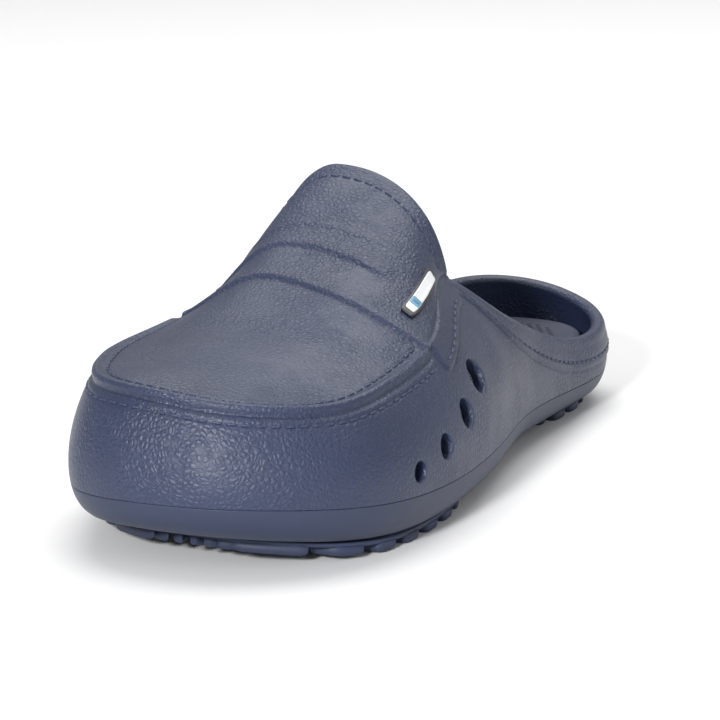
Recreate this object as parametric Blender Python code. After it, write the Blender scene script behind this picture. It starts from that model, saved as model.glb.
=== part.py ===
"""Rubber garden clog for the left foot: moulded upper, sole unit, two tread pads, insole and badge.

The toe points to -Y, the outer (lateral) side of the foot is +X and the floor is z = 0.
Run it with: blender --background --python part.py
"""

import math

import bpy
import bmesh
import numpy as np
from mathutils import Matrix, Vector

MM = 0.001

# ---- overall sizes ----
LENGTH = 290 * MM
BALL_WIDTH = 118 * MM
HEEL_WIDTH = 74 * MM
TONGUE_HEIGHT = 99 * MM
NOTCH_HEIGHT = 68 * MM
TOE_HEIGHT = 53 * MM
HEEL_HEIGHT = 37 * MM

# ---- walls, steps and gaps ----
WALL = 4.0 * MM
SEAT_GAP = 0.3 * MM
WALL_CLEARANCE = 1.2 * MM
INSOLE_CLEARANCE = 3.5 * MM
INSOLE_THICKNESS = 4.0 * MM
INSOLE_EDGE_SHARE = 0.6
INSOLE_ROUNDING = 0.985
INSOLE_RIM_SHARE = 0.32
INSOLE_HINGE_ALONG = -0.4631
TREAD_HEIGHT = 4.5 * MM
TREAD_INSET = 7.5 * MM
GROOVE_DEPTH = 2.8 * MM
GROOVE_WIDTH = 4.5 * MM
GROOVE_PITCH = 14.0 * MM
FIRST_GROOVE = 0.7
FOREFOOT_TREAD = (-0.425, -0.045)
HEEL_TREAD = (0.235, 0.440)
TREAD_SECTIONS = 24
TREAD_END_NARROWING = 0.8
TREAD_END_SQUARENESS = 5

# ---- profile of the underside and of the footbed ----
TOE_SPRING = 9.0 * MM
HEEL_SPRING = 4.0 * MM
ARCH_RISE = 1.5 * MM
BED_FRONT = 12.5 * MM
BED_REAR = 19.5 * MM
BED_TOE_RISE = 3.0 * MM
FOOT_LIP = 0.5 * MM
BED_WALL_LEAN = 1.5 * MM
# Where each rise starts and the length it takes, as parts of the length.
TOE_SPRING_START, TOE_SPRING_RUN = -0.248, 0.252
HEEL_SPRING_START, HEEL_SPRING_RUN = 0.36, 0.14
ARCH_START, ARCH_RUN = -0.05, 0.29
BED_RISE_START, BED_RISE_RUN = -0.24, 0.42
BED_TOE_START, BED_TOE_RUN = -0.31, 0.19

# How closely the outline's curve keeps to its stations where they crowd together.
KNOT_POWER = 0.8

# ---- side vents, from the rear one to the front one ----
VENT_DIAMETERS = [11.5 * MM, 9.5 * MM, 8.0 * MM, 6.5 * MM]
VENT_ALONG = [-0.106, -0.169, -0.236, -0.296]
VENT_HEIGHTS = [42.5 * MM, 35.0 * MM, 29.0 * MM, 25.0 * MM]
VENT_SIDES = 24
VENT_CUT_WALLS = 6
VENT_TILT_REACH = 2 * MM

# ---- badge on the outer side of the strap ----
BADGE_LENGTH = 28.0 * MM
BADGE_ALONG = -0.107
BADGE_RISE = (0.105, 0.195)
BADGE_TURN = -0.063
BADGE_THICKNESS = 1.2 * MM
BADGE_RIM = 0.14
BADGE_ROWS = 5
BADGE_COLUMNS = 7
BADGE_FACE_THICKNESS = 0.7 * MM

# ---- where the sections fan out, and where the opening starts (parts of the length) ----
TOE_CENTRE = -0.325
HEEL_CENTRE = 0.365
NOTCH = 0.004
TONGUE_TIP = 0.042
TONGUE_SWEEP_START = -0.155

# ---- how far apart two points are taken to read a direction, and which points are one ----
SLOPE_REACH = 1 * MM
VAMP_REACH = 0.02
MERGE_DISTANCE = 0.01 * MM
SMALLEST_FACE = 1e-6 * MM * MM
SHARP_ANGLE = 40

# ---- number of sections and rows ----
FRONT_SECTIONS = 18
REAR_SECTIONS = 15
TOE_FAN = 16
HEEL_FAN = 12
LOW_ROWS = 2
WALL_ROWS = 4
VAMP_ROWS = 8
SOLE_WALL_ROWS = 5
BASE_ROWS = 3
INSOLE_ROWS = (0, 0.5, 0.9, 1)
CURVE_PLACES = 100

# ---- fullness of the walls and of the vamp ----
ROUNDNESS = 2 / 2.3
WALL_LEAN = 1.9
SEAM_FULLNESS = 0.52
CREST_FULLNESS = 0.50

# ---- colours ----
UPPER_NAVY = (0.060, 0.080, 0.160)
SOLE_NAVY = (0.055, 0.072, 0.140)
TREAD_NAVY = (0.050, 0.066, 0.130)
INSOLE_NAVY = (0.075, 0.090, 0.150)
BADGE_BLACK = (0.020, 0.020, 0.025)
BADGE_WHITE = (0.80, 0.80, 0.78)

# Each station of the outline: across, along, rim inset, rim height, height of the widest line,
# inset of the foot edge, height of the joint between sole and upper.
STATIONS = [
    (0.000 * HEEL_WIDTH, 0.500, 3.0 * MM, HEEL_HEIGHT, 22 * MM, 18 * MM, 17 * MM),
    (0.32 * HEEL_WIDTH, 0.472, 3.0 * MM, HEEL_HEIGHT - 5 * MM, 20 * MM, 12 * MM, 15 * MM),
    (0.48 * HEEL_WIDTH, 0.400, 3.0 * MM, HEEL_HEIGHT - 8 * MM, 18 * MM, 7 * MM, 13 * MM),
    (0.52 * HEEL_WIDTH, 0.290, 3.0 * MM, HEEL_HEIGHT - 6.5 * MM, 18 * MM, 7 * MM, 13 * MM),
    (0.555 * HEEL_WIDTH, 0.158, 4.5 * MM, HEEL_HEIGHT + 4.5 * MM, 22 * MM, 7 * MM, 15 * MM),
    (0.385 * BALL_WIDTH, 0.068, 13.0 * MM, NOTCH_HEIGHT - 14 * MM, 25 * MM, 7 * MM, 16 * MM),
    (0.420 * BALL_WIDTH, 0.004, 23.0 * MM, NOTCH_HEIGHT - 3 * MM, 26 * MM, 7 * MM, 16 * MM),
    (0.479 * BALL_WIDTH, -0.124, 16.0 * MM, NOTCH_HEIGHT - 10 * MM, 26 * MM, 8 * MM, 16 * MM),
    (0.500 * BALL_WIDTH, -0.262, 12.5 * MM, TOE_HEIGHT - 2 * MM, 25 * MM, 9 * MM, 17 * MM),
    (0.449 * BALL_WIDTH, -0.372, 11.0 * MM, TOE_HEIGHT - 5 * MM, 25 * MM, 11 * MM, 19 * MM),
    (0.322 * BALL_WIDTH, -0.445, 9.5 * MM, TOE_HEIGHT - 4 * MM, 26 * MM, 13 * MM, 21 * MM),
    (0.153 * BALL_WIDTH, -0.488, 9.0 * MM, TOE_HEIGHT - 2 * MM, 27 * MM, 15 * MM, 22 * MM),
    (-0.051 * BALL_WIDTH, -0.500, 8.5 * MM, TOE_HEIGHT + 0.5 * MM, 27 * MM, 16 * MM, 22 * MM),
    (-0.254 * BALL_WIDTH, -0.476, 8.5 * MM, TOE_HEIGHT + 1 * MM, 27 * MM, 14 * MM, 21 * MM),
    (-0.420 * BALL_WIDTH, -0.372, 9.0 * MM, TOE_HEIGHT + 0.5 * MM, 25 * MM, 11 * MM, 19.5 * MM),
    (-0.500 * BALL_WIDTH, -0.276, 12.0 * MM, TOE_HEIGHT, 24 * MM, 9 * MM, 18.5 * MM),
    (-0.488 * BALL_WIDTH, -0.190, 13.0 * MM, TOE_HEIGHT + 2 * MM, 25 * MM, 8 * MM, 19 * MM),
    (-0.441 * BALL_WIDTH, -0.090, 12.0 * MM, NOTCH_HEIGHT - 5.5 * MM, 28 * MM, 7.5 * MM, 22 * MM),
    (-0.386 * BALL_WIDTH, 0.000, 9.5 * MM, NOTCH_HEIGHT + 1.5 * MM, 28 * MM, 7 * MM, 24 * MM),
    (-0.352 * BALL_WIDTH, 0.048, 7.5 * MM, NOTCH_HEIGHT - 12 * MM, 27 * MM, 7 * MM, 24.5 * MM),
    (-0.500 * HEEL_WIDTH, 0.155, 5.5 * MM, HEEL_HEIGHT + 2 * MM, 25 * MM, 7 * MM, 24 * MM),
    (-0.480 * HEEL_WIDTH, 0.276, 4.0 * MM, HEEL_HEIGHT, 22 * MM, 7 * MM, 20 * MM),
    (-0.453 * HEEL_WIDTH, 0.390, 3.5 * MM, HEEL_HEIGHT + 1.5 * MM, 20 * MM, 7 * MM, 18 * MM),
    (-0.311 * HEEL_WIDTH, 0.472, 3.0 * MM, HEEL_HEIGHT + 2 * MM, 21 * MM, 12 * MM, 17 * MM),
]

# Crest of the vamp: along, across, height.
CREST = [
    (-0.325, -4 * MM, TOE_HEIGHT + 5 * MM),
    (-0.270, -5 * MM, TOE_HEIGHT + 7.5 * MM),
    (-0.214, -8 * MM, TOE_HEIGHT + 11.5 * MM),
    (-0.158, -10.5 * MM, TONGUE_HEIGHT - 29.5 * MM),
    (-0.097, -13 * MM, TONGUE_HEIGHT - 21.5 * MM),
    (-0.022, -16 * MM, TONGUE_HEIGHT - 10 * MM),
    (0.042, -18 * MM, TONGUE_HEIGHT),
    (0.500, 0 * MM, TONGUE_HEIGHT),
]

# How steeply the vamp leaves its seam: along, angle in degrees.
VAMP_ANGLES = [(-0.325, 11), (-0.214, 24), (-0.158, 36), (-0.097, 52), (-0.035, 72), (0.004, 82)]


# ---------------------------------------------------------------- curves and sections


def closed_curve(points):
    """Smooth closed curve through the points, as a table of close places along it."""
    points = np.array(points, float)
    count = len(points)
    step = np.linalg.norm(np.roll(points[:, :2], -1, 0) - points[:, :2], axis=1) ** KNOT_POWER
    system = np.zeros((count, count))
    right = np.zeros_like(points)
    for i in range(count):
        before, after = step[i - 1], step[i]
        system[i, i - 1] += before
        system[i, i] += 2 * (before + after)
        system[i, (i + 1) % count] += after
        rise_after = (points[(i + 1) % count] - points[i]) / after
        rise_before = (points[i] - points[i - 1]) / before
        right[i] = 6 * (rise_after - rise_before)
    bend = np.linalg.solve(system, right)
    places = []
    for i in range(count):
        following = (i + 1) % count
        t = np.linspace(0, 1, CURVE_PLACES, endpoint=False)[:, None]
        h = step[i]
        a, b = 1 - t, t
        places.append(
            a * points[i]
            + b * points[following]
            + ((a**3 - a) * bend[i] + (b**3 - b) * bend[following]) * h * h / 6
        )
    return np.concatenate(places)


def smooth_through(table, along):
    """Value of a table of (along, value) at one place, on a smooth curve through its rows."""
    table = np.array(table, float)
    x = table[:, 0]
    slopes = np.gradient(table[:, 1], x)
    along = min(max(along, x[0]), x[-1])
    i = min(max(int(np.searchsorted(x, along)) - 1, 0), len(x) - 2)
    width = x[i + 1] - x[i]
    t = (along - x[i]) / width
    return (
        (2 * t**3 - 3 * t**2 + 1) * table[i, 1]
        + (t**3 - 2 * t**2 + t) * width * slopes[i]
        + (3 * t**2 - 2 * t**3) * table[i + 1, 1]
        + (t**3 - t**2) * width * slopes[i + 1]
    )


def crest_point(y):
    along = y / LENGTH
    across = smooth_through([row[:2] for row in CREST], along)
    height = smooth_through([(row[0], row[2]) for row in CREST], along)
    return Vector((across, y, height))


def crest_slope(y):
    return (crest_point(y + SLOPE_REACH).z - crest_point(y).z) / SLOPE_REACH


def spaced(first, last, count):
    return [float(value) for value in np.linspace(first, last, count)]


def ease(t):
    t = min(max(t, 0), 1)
    return t * t * (3 - 2 * t)


def under_height(y):
    """Height of the sole's underside above the floor."""
    toe = max(0, TOE_SPRING_START * LENGTH - y) / (TOE_SPRING_RUN * LENGTH)
    heel = max(0, y - HEEL_SPRING_START * LENGTH) / (HEEL_SPRING_RUN * LENGTH)
    arch = math.sin(math.pi * min(max((y / LENGTH - ARCH_START) / ARCH_RUN, 0), 1)) ** 2
    return TREAD_HEIGHT + TOE_SPRING * toe**2 + HEEL_SPRING * heel**2 + ARCH_RISE * arch


def bed_height(y):
    """Height of the top of the sole, under the insole."""
    rise = ease((y / LENGTH - BED_RISE_START) / BED_RISE_RUN)
    toe = max(0, BED_TOE_START * LENGTH - y) / (BED_TOE_RUN * LENGTH)
    return BED_FRONT + (BED_REAR - BED_FRONT) * rise + BED_TOE_RISE * toe**2


class Section:
    """One cut through the clog, from its outline to the middle."""

    def __init__(self, place):
        x, y, *sizes = place
        self.out = Vector((x, y))
        self.rim_in, self.rim_z, self.wide_z, self.foot_in, self.joint_z = sizes
        middle_y = min(max(y, TOE_CENTRE * LENGTH), HEEL_CENTRE * LENGTH)
        self.middle = Vector((crest_point(middle_y).x, middle_y))
        self.inward = (self.middle - self.out).normalized()
        self.foot_z = under_height(y + self.inward.y * self.foot_in) + FOOT_LIP

    def at(self, inset, z):
        place = self.out + self.inward * inset
        return Vector((place.x, place.y, z))

    def low_wall(self, angle):
        """Rounded lower part of the wall: angle 0 at the foot edge, a right angle at the widest line."""
        inset = self.foot_in * (1 - math.sin(angle) ** ROUNDNESS)
        drop = (self.wide_z - self.foot_z) * max(math.cos(angle), 0) ** ROUNDNESS
        return self.at(inset, self.wide_z - drop)

    def high_wall(self, t):
        """Upper part of the wall: 0 at the widest line, 1 at the rim or at the vamp's seam."""
        return self.at(self.rim_in * t**WALL_LEAN, self.wide_z + (self.rim_z - self.wide_z) * t)

    def angle_at(self, z):
        """Angle of low_wall at a height."""
        ratio = (self.wide_z - z) / (self.wide_z - self.foot_z)
        return math.acos(min(max(ratio, 0), 1) ** (1 / ROUNDNESS))

    def wall(self, z):
        """Point of the wall at a height."""
        if z < self.wide_z:
            return self.low_wall(self.angle_at(z))
        return self.high_wall((z - self.wide_z) / (self.rim_z - self.wide_z))

    def vamp(self, r):
        """Point of the vamp, from the seam at 0 to the crest at 1."""
        seam = self.high_wall(1)
        y = self.middle.y
        start = TONGUE_SWEEP_START * LENGTH
        sweep = max(0, (y - start) / (NOTCH * LENGTH - start))
        crest = crest_point(y + (TONGUE_TIP - NOTCH) * LENGTH * sweep**2)
        reach = (crest.xy - seam.xy).length
        angle = math.radians(smooth_through(VAMP_ANGLES, y / LENGTH))
        rising = Vector((*(self.inward * math.cos(angle)), math.sin(angle)))
        first = seam + rising * SEAM_FULLNESS * rising.dot(crest - seam)
        slope = crest_slope(y) * self.inward.y
        last = crest - Vector((*self.inward, slope)) * CREST_FULLNESS * reach
        a = 1 - r
        return a**3 * seam + 3 * a * a * r * first + 3 * a * r * r * last + r**3 * crest


OUTLINE = closed_curve([(s[0], s[1] * LENGTH, *s[2:]) for s in STATIONS])


def side_curve(side):
    """Half of the outline in order along: side 1 is the outer side, -1 the inner one."""
    toe = int(np.argmin(OUTLINE[:, 1]))
    half = OUTLINE[: toe + 1] if side > 0 else OUTLINE[toe:]
    return half[np.argsort(half[:, 1])]


SIDE_CURVES = {side: side_curve(side) for side in (1, -1)}


def side_section(side, y):
    """Section on one side at any place along."""
    curve = SIDE_CURVES[side]
    return Section([float(np.interp(y, curve[:, 1], column)) for column in curve.T])


def fan(centre_along, turn, count):
    """Sections spread evenly in angle round one end, from the outer side.

    The turn is -1 at the toe and 1 at the heel.
    """
    centre_y = centre_along * LENGTH
    beyond = OUTLINE[(OUTLINE[:, 1] - centre_y) * turn > 0]
    angles = np.arctan2((beyond[:, 1] - centre_y) * turn, beyond[:, 0] - crest_point(centre_y).x)
    order = np.argsort(angles)
    steps = spaced(0, math.pi, count + 2)[1:-1]
    columns = [column[order] for column in beyond.T]
    return [Section([float(np.interp(a, angles[order], column)) for column in columns]) for a in steps]


FRONT_ALONG = spaced(TOE_CENTRE * LENGTH, NOTCH * LENGTH, FRONT_SECTIONS)
REAR_ALONG = spaced(NOTCH * LENGTH, HEEL_CENTRE * LENGTH, REAR_SECTIONS + 1)[1:]
PAIRS = [(side_section(1, y), side_section(-1, y)) for y in FRONT_ALONG + REAR_ALONG]
TOE_SECTIONS = fan(TOE_CENTRE, -1, TOE_FAN)
HEEL_SECTIONS = fan(HEEL_CENTRE, 1, HEEL_FAN)[::-1]


def ring_of_sections():
    """All sections once round: outer side to the toe, round it, back along the inner side, round the heel."""
    lateral = [pair[0] for pair in reversed(PAIRS)]
    medial = [pair[1] for pair in PAIRS]
    return lateral + TOE_SECTIONS + medial + HEEL_SECTIONS


# ---------------------------------------------------------------- mesh helpers


def make_object(name, columns, colour, roughness):
    """Object from columns of points in a ring; faces join each column to the next, and equal points merge."""
    mesh = bmesh.new()
    grid = [[mesh.verts.new(point) for point in column] for column in columns]
    for left, right in zip(grid, grid[1:] + grid[:1]):
        for i in range(len(left) - 1):
            mesh.faces.new((left[i], right[i], right[i + 1], left[i + 1]))
    return finish_object(name, mesh, colour, roughness)


def finish_object(name, mesh, colour, roughness):
    bmesh.ops.remove_doubles(mesh, verts=mesh.verts, dist=MERGE_DISTANCE)
    flat = [face for face in mesh.faces if face.calc_area() < SMALLEST_FACE]
    bmesh.ops.delete(mesh, geom=flat, context="FACES")
    bmesh.ops.recalc_face_normals(mesh, faces=mesh.faces)
    data = bpy.data.meshes.new(name)
    mesh.to_mesh(data)
    mesh.free()
    data.shade_smooth()
    data.set_sharp_from_angle(angle=math.radians(SHARP_ANGLE))
    thing = bpy.data.objects.new(name, data)
    bpy.context.scene.collection.objects.link(thing)
    if colour:
        data.materials.append(make_material(name, colour, roughness))
    return thing


def make_material(name, colour, roughness):
    material = bpy.data.materials.new(name)
    material.use_nodes = True
    shader = material.node_tree.nodes["Principled BSDF"]
    shader.inputs["Base Color"].default_value = (*colour, 1)
    shader.inputs["Roughness"].default_value = roughness
    shader.inputs["Metallic"].default_value = 0
    return material


def add_box(mesh, low, high):
    centre = (Vector(low) + Vector(high)) / 2
    size = Vector(high) - Vector(low)
    bmesh.ops.create_cube(mesh, size=1, matrix=Matrix.Translation(centre) @ Matrix.Diagonal((*size, 1)))


def as_cutter(thing, target):
    thing.hide_render = True
    thing.display_type = "WIRE"
    cut = target.modifiers.new(thing.name, "BOOLEAN")
    cut.object = thing
    cut.operation = "DIFFERENCE"
    cut.solver = "EXACT"


def steps_to_one(count):
    return [i / count for i in range(1, count + 1)]


# ---------------------------------------------------------------- the pieces


def upper_column(section, with_vamp):
    start = section.angle_at(section.joint_z)
    column = []
    for t in spaced(start, math.pi / 2, LOW_ROWS + 1):
        column.append(section.low_wall(t))
    for t in steps_to_one(WALL_ROWS):
        column.append(section.high_wall(t))
    if with_vamp:
        for r in steps_to_one(VAMP_ROWS):
            column.append(section.vamp(r))
    return column


def make_upper():
    """Moulded shell: toe wall, sides and heel collar in one with the vamp and its tongue."""
    with_vamp = [True] * FRONT_SECTIONS + [False] * REAR_SECTIONS
    lateral = [upper_column(pair[0], vamp) for pair, vamp in zip(PAIRS, with_vamp)]
    medial = [upper_column(pair[1], vamp) for pair, vamp in zip(PAIRS, with_vamp)]
    toe = [upper_column(section, True) for section in TOE_SECTIONS]
    heel = [upper_column(section, False) for section in HEEL_SECTIONS]
    columns = lateral[::-1] + toe + medial + heel

    mesh = bmesh.new()
    grid = [[mesh.verts.new(point) for point in column] for column in columns]
    for left, right in zip(grid, grid[1:] + grid[:1]):
        for i in range(min(len(left), len(right)) - 1):
            mesh.faces.new((left[i], right[i], right[i + 1], left[i + 1]))
    upper = finish_object("upper", mesh, UPPER_NAVY, 0.45)
    shell = upper.modifiers.new("wall", "SOLIDIFY")
    shell.thickness = WALL
    shell.offset = -1
    shell.use_even_offset = True
    as_cutter(make_vents(), upper)
    return upper


def make_vents():
    """Round cutters through the side walls, square to the surface."""
    mesh = bmesh.new()
    reach = VENT_TILT_REACH
    for side in (1, -1):
        for diameter, along, height in zip(VENT_DIAMETERS, VENT_ALONG, VENT_HEIGHTS):
            y = along * LENGTH
            section = side_section(side, y)
            up = section.wall(height + reach) - section.wall(height - reach)
            ahead, behind = (side_section(side, y + step).wall(height) for step in (-reach, reach))
            turn = up.cross(ahead - behind).normalized().to_track_quat("Z", "Y").to_matrix().to_4x4()
            bmesh.ops.create_cone(
                mesh,
                cap_ends=True,
                segments=VENT_SIDES,
                radius1=diameter / 2,
                radius2=diameter / 2,
                depth=VENT_CUT_WALLS * WALL,
                matrix=Matrix.Translation(section.wall(height)) @ turn,
            )
    return finish_object("vent_cutters", mesh, None, None)


def make_sole():
    """Sole unit: rounded side wall up to the joint, a step for the upper's wall, and the bed inside it."""
    seat = WALL + WALL_CLEARANCE
    columns = []
    for section in ring_of_sections():
        top_z = section.joint_z - SEAT_GAP
        joint = section.angle_at(top_z)
        y_mid = section.middle.y
        foot = section.low_wall(0)
        column = [Vector((*section.middle, under_height(y_mid)))]
        for t in steps_to_one(BASE_ROWS):
            place = Vector((*section.middle, 0)).lerp(foot, t)
            place.z = under_height(place.y) + FOOT_LIP * t**3
            column.append(place)
        for t in steps_to_one(SOLE_WALL_ROWS):
            column.append(section.low_wall(joint * t))
        step = section.low_wall(joint)
        step_in = (section.out - step.xy).length
        column.append(section.at(step_in + seat, top_z))
        inner = section.at(step_in + seat + BED_WALL_LEAN, 0)
        inner.z = bed_height(inner.y)
        column.append(inner)
        for t in steps_to_one(BASE_ROWS):
            place = inner.lerp(Vector((*section.middle, 0)), t)
            place.z = bed_height(place.y)
            column.append(place)
        columns.append(column)
    return make_object("sole", columns, SOLE_NAVY, 0.60)


def make_insole():
    """Loose insole pad on the bed, clear of the upper's wall all round; it peels up about its toe end."""
    inset = WALL + WALL_CLEARANCE + INSOLE_CLEARANCE
    columns = []
    for section in ring_of_sections():
        centre = Vector((*section.middle, 0))
        edge = section.at(inset + INSOLE_RIM_SHARE * section.rim_in, 0)

        def level(share, lift):
            place = centre.lerp(edge, share)
            return Vector((place.x, place.y, bed_height(place.y) + SEAT_GAP + lift))

        column = [level(share, 0) for share in INSOLE_ROWS]
        column.append(level(1, INSOLE_THICKNESS * INSOLE_EDGE_SHARE))
        column += [level(share * INSOLE_ROUNDING, INSOLE_THICKNESS) for share in INSOLE_ROWS[::-1]]
        columns.append(column)
    insole = make_object("insole", columns, INSOLE_NAVY, 0.80)
    hinge_y = INSOLE_HINGE_ALONG * LENGTH
    hinge = Vector((0, hinge_y, bed_height(hinge_y) + SEAT_GAP))
    insole.data.transform(Matrix.Translation(-hinge))
    insole.location = hinge
    return insole


def make_loop_object(name, loops, colour, roughness):
    """Closed body from loops of the same number of points, capped at both ends."""
    mesh = bmesh.new()
    rows = [[mesh.verts.new(point) for point in loop] for loop in loops]
    for left, right in zip(rows, rows[1:]):
        for i in range(len(left)):
            j = (i + 1) % len(left)
            mesh.faces.new((left[i], right[i], right[j], left[j]))
    for row in (rows[0], rows[-1]):
        for i in range(len(row) // 2 - 1):
            mesh.faces.new((row[i], row[i + 1], row[-i - 2], row[-i - 1]))
    return finish_object(name, mesh, colour, roughness)


def make_tread(name, ends):
    """Tread pad under part of the sole: a plate that follows the underside, cut by grooves into lugs."""
    low, high = (end * LENGTH for end in ends)
    loops = []
    for y in spaced(low, high, TREAD_SECTIONS):
        end = abs(2 * (y - low) / (high - low) - 1) ** TREAD_END_SQUARENESS
        narrowing = math.sqrt(1 - TREAD_END_NARROWING * end)
        right, left = (side_section(side, y).out.x for side in (1, -1))
        middle, half = (right + left) / 2, ((right - left) / 2 - TREAD_INSET) * narrowing
        top = under_height(y) - SEAT_GAP
        low_side = under_height(y) - TREAD_HEIGHT
        across = [middle + half * share for share in (-1, 0, 1)]
        loops.append([(x, y, top) for x in across] + [(x, y, low_side) for x in reversed(across)])
    pad = make_loop_object(name, loops, TREAD_NAVY, 0.65)

    grooves = bmesh.new()
    reach = BALL_WIDTH
    y = low + FIRST_GROOVE * GROOVE_PITCH
    while y < high - GROOVE_WIDTH:
        top = under_height(y) - TREAD_HEIGHT + GROOVE_DEPTH
        add_box(grooves, (-reach, y, -reach), (reach, y + GROOVE_WIDTH, top))
        y += GROOVE_PITCH
    as_cutter(finish_object(name + "_grooves", grooves, None, None), pad)
    return pad


def vamp_normal(y, r):
    """Outward direction of the vamp on the outer side."""
    along = side_section(1, y + SLOPE_REACH).vamp(r) - side_section(1, y - SLOPE_REACH).vamp(r)
    section = side_section(1, y)
    rise = section.vamp(r + VAMP_REACH) - section.vamp(r - VAMP_REACH)
    return along.cross(rise).normalized()


def make_badge_patch(name, lift, thickness, rim, colour, roughness):
    """Patch that follows the vamp; rim is the part of each side left free round it."""
    half = BADGE_LENGTH / 2 * (1 - rim)
    margin = (BADGE_RISE[1] - BADGE_RISE[0]) * rim
    rises = spaced(BADGE_RISE[0] + margin, BADGE_RISE[1] - margin, BADGE_ROWS)
    centre = BADGE_ALONG * LENGTH
    loops = []
    for y in spaced(centre - half, centre + half, BADGE_COLUMNS):
        section = side_section(1, y)
        turned = [r + BADGE_TURN * (y - centre) / BADGE_LENGTH for r in rises]
        skin = [(section.vamp(r), vamp_normal(y, r)) for r in turned]
        low_skin = [place + normal * lift for place, normal in skin]
        high_skin = [place + normal * (lift + thickness) for place, normal in skin]
        loops.append(low_skin + high_skin[::-1])
    return make_loop_object(name, loops, colour, roughness)


def clear_scene():
    for thing in list(bpy.data.objects):
        bpy.data.objects.remove(thing)


def main():
    clear_scene()
    make_upper()
    make_sole()
    make_insole()
    make_tread("forefoot_tread", FOREFOOT_TREAD)
    make_tread("heel_tread", HEEL_TREAD)
    make_badge_patch("badge_plate", SEAT_GAP, BADGE_THICKNESS, 0, BADGE_BLACK, 0.40)
    face_lift = BADGE_THICKNESS + 2 * SEAT_GAP
    make_badge_patch("badge_face", face_lift, BADGE_FACE_THICKNESS, BADGE_RIM, BADGE_WHITE, 0.35)


main()
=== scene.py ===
"""Rubber garden clog: fine surfaces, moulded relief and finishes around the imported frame."""

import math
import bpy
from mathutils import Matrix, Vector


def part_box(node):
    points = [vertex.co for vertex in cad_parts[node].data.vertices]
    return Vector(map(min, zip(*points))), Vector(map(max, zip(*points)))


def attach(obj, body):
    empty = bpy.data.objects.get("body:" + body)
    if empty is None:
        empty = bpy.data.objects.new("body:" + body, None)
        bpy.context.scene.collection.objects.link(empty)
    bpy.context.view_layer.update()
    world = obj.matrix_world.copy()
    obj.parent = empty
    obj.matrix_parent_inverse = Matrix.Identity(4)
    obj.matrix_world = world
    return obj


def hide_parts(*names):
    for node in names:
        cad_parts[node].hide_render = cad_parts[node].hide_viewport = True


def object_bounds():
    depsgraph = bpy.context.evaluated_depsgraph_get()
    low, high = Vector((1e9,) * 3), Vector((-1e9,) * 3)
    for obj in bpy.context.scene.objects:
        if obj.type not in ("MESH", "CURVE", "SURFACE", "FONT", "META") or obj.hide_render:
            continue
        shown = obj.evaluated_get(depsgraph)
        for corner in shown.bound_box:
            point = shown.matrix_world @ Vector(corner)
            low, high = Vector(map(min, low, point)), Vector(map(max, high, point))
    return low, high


bl_info = {
    "name": "Garden clog",
    "version": (1, 0, 0),
    "blender": (4, 5, 0),
    "location": "View3D > Sidebar > Clog",
    "description": "Builds a moulded garden clog with strap, collar band, vents, tread and insole",
    "category": "Add Mesh",
}

import bmesh
import bpy
import numpy as np
from bpy.props import FloatProperty, FloatVectorProperty, IntProperty, PointerProperty
from mathutils import Euler, Vector

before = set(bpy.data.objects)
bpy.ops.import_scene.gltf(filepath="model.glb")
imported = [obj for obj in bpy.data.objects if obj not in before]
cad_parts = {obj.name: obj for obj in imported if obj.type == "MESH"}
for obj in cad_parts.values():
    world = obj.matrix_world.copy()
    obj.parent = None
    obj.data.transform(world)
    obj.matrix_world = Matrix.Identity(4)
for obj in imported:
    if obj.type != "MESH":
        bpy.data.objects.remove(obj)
CAD_BOX = [list(corner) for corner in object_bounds()]
SOLE_LOW, SOLE_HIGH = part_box("sole")

MM = 0.001
BODY = "clog"
INSOLE_BODY = "insole"

# ---- overall sizes, from the frame ----
LENGTH = round(CAD_BOX[1][1] - CAD_BOX[0][1], 3)
BALL_WIDTH = round(SOLE_HIGH.x - SOLE_LOW.x, 3)
TONGUE_HEIGHT = round(CAD_BOX[1][2], 3)
HEEL_WIDTH = 74 * MM
NOTCH_HEIGHT = 68 * MM
TOE_HEIGHT = 53 * MM
HEEL_HEIGHT = 37 * MM

# ---- walls, gaps and the underside ----
WALL = 4.0 * MM
SEAT_GAP = 0.3 * MM
WALL_CLEARANCE = 1.2 * MM
INSOLE_CLEARANCE = 3.5 * MM
INSOLE_THICKNESS = 4.0 * MM
INSOLE_RIM_SHARE = 0.32
TREAD_HEIGHT = 4.5 * MM
TREAD_INSET = 7.5 * MM
FOREFOOT_TREAD = (-0.425, -0.045)
HEEL_TREAD = (0.235, 0.440)
TREAD_END_NARROWING = 0.8
TREAD_END_SQUARENESS = 5
GROOVE_WIDTH = 4.5 * MM
GROOVE_PITCH = 14.0 * MM
FIRST_GROOVE = 0.7
TOE_SPRING = 9.0 * MM
HEEL_SPRING = 4.0 * MM
ARCH_RISE = 1.5 * MM
BED_FRONT = 12.5 * MM
BED_REAR = 19.5 * MM
BED_TOE_RISE = 3.0 * MM
BED_WALL_LEAN = 1.5 * MM
# Where each rise starts and the length it takes, as parts of the length.
TOE_SPRING_START, TOE_SPRING_RUN = -0.248, 0.252
HEEL_SPRING_START, HEEL_SPRING_RUN = 0.36, 0.14
ARCH_START, ARCH_RUN = -0.05, 0.29
BED_RISE_START, BED_RISE_RUN = -0.24, 0.42
BED_TOE_START, BED_TOE_RUN = -0.31, 0.19
FOOT_LIP = 0.5 * MM

# ---- places along, as parts of the length ----
TOE_CENTRE = -0.325
HEEL_CENTRE = 0.365
NOTCH = 0.004
TONGUE_TIP = 0.042
TONGUE_SWEEP_START = -0.155

# ---- fullness ----
ROUNDNESS = 2 / 2.3
WALL_LEAN = 1.9
SEAM_FULLNESS = 0.52
CREST_FULLNESS = 0.50

# How closely the outline's curve keeps to its stations where they crowd together.
KNOT_POWER = 0.8

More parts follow.
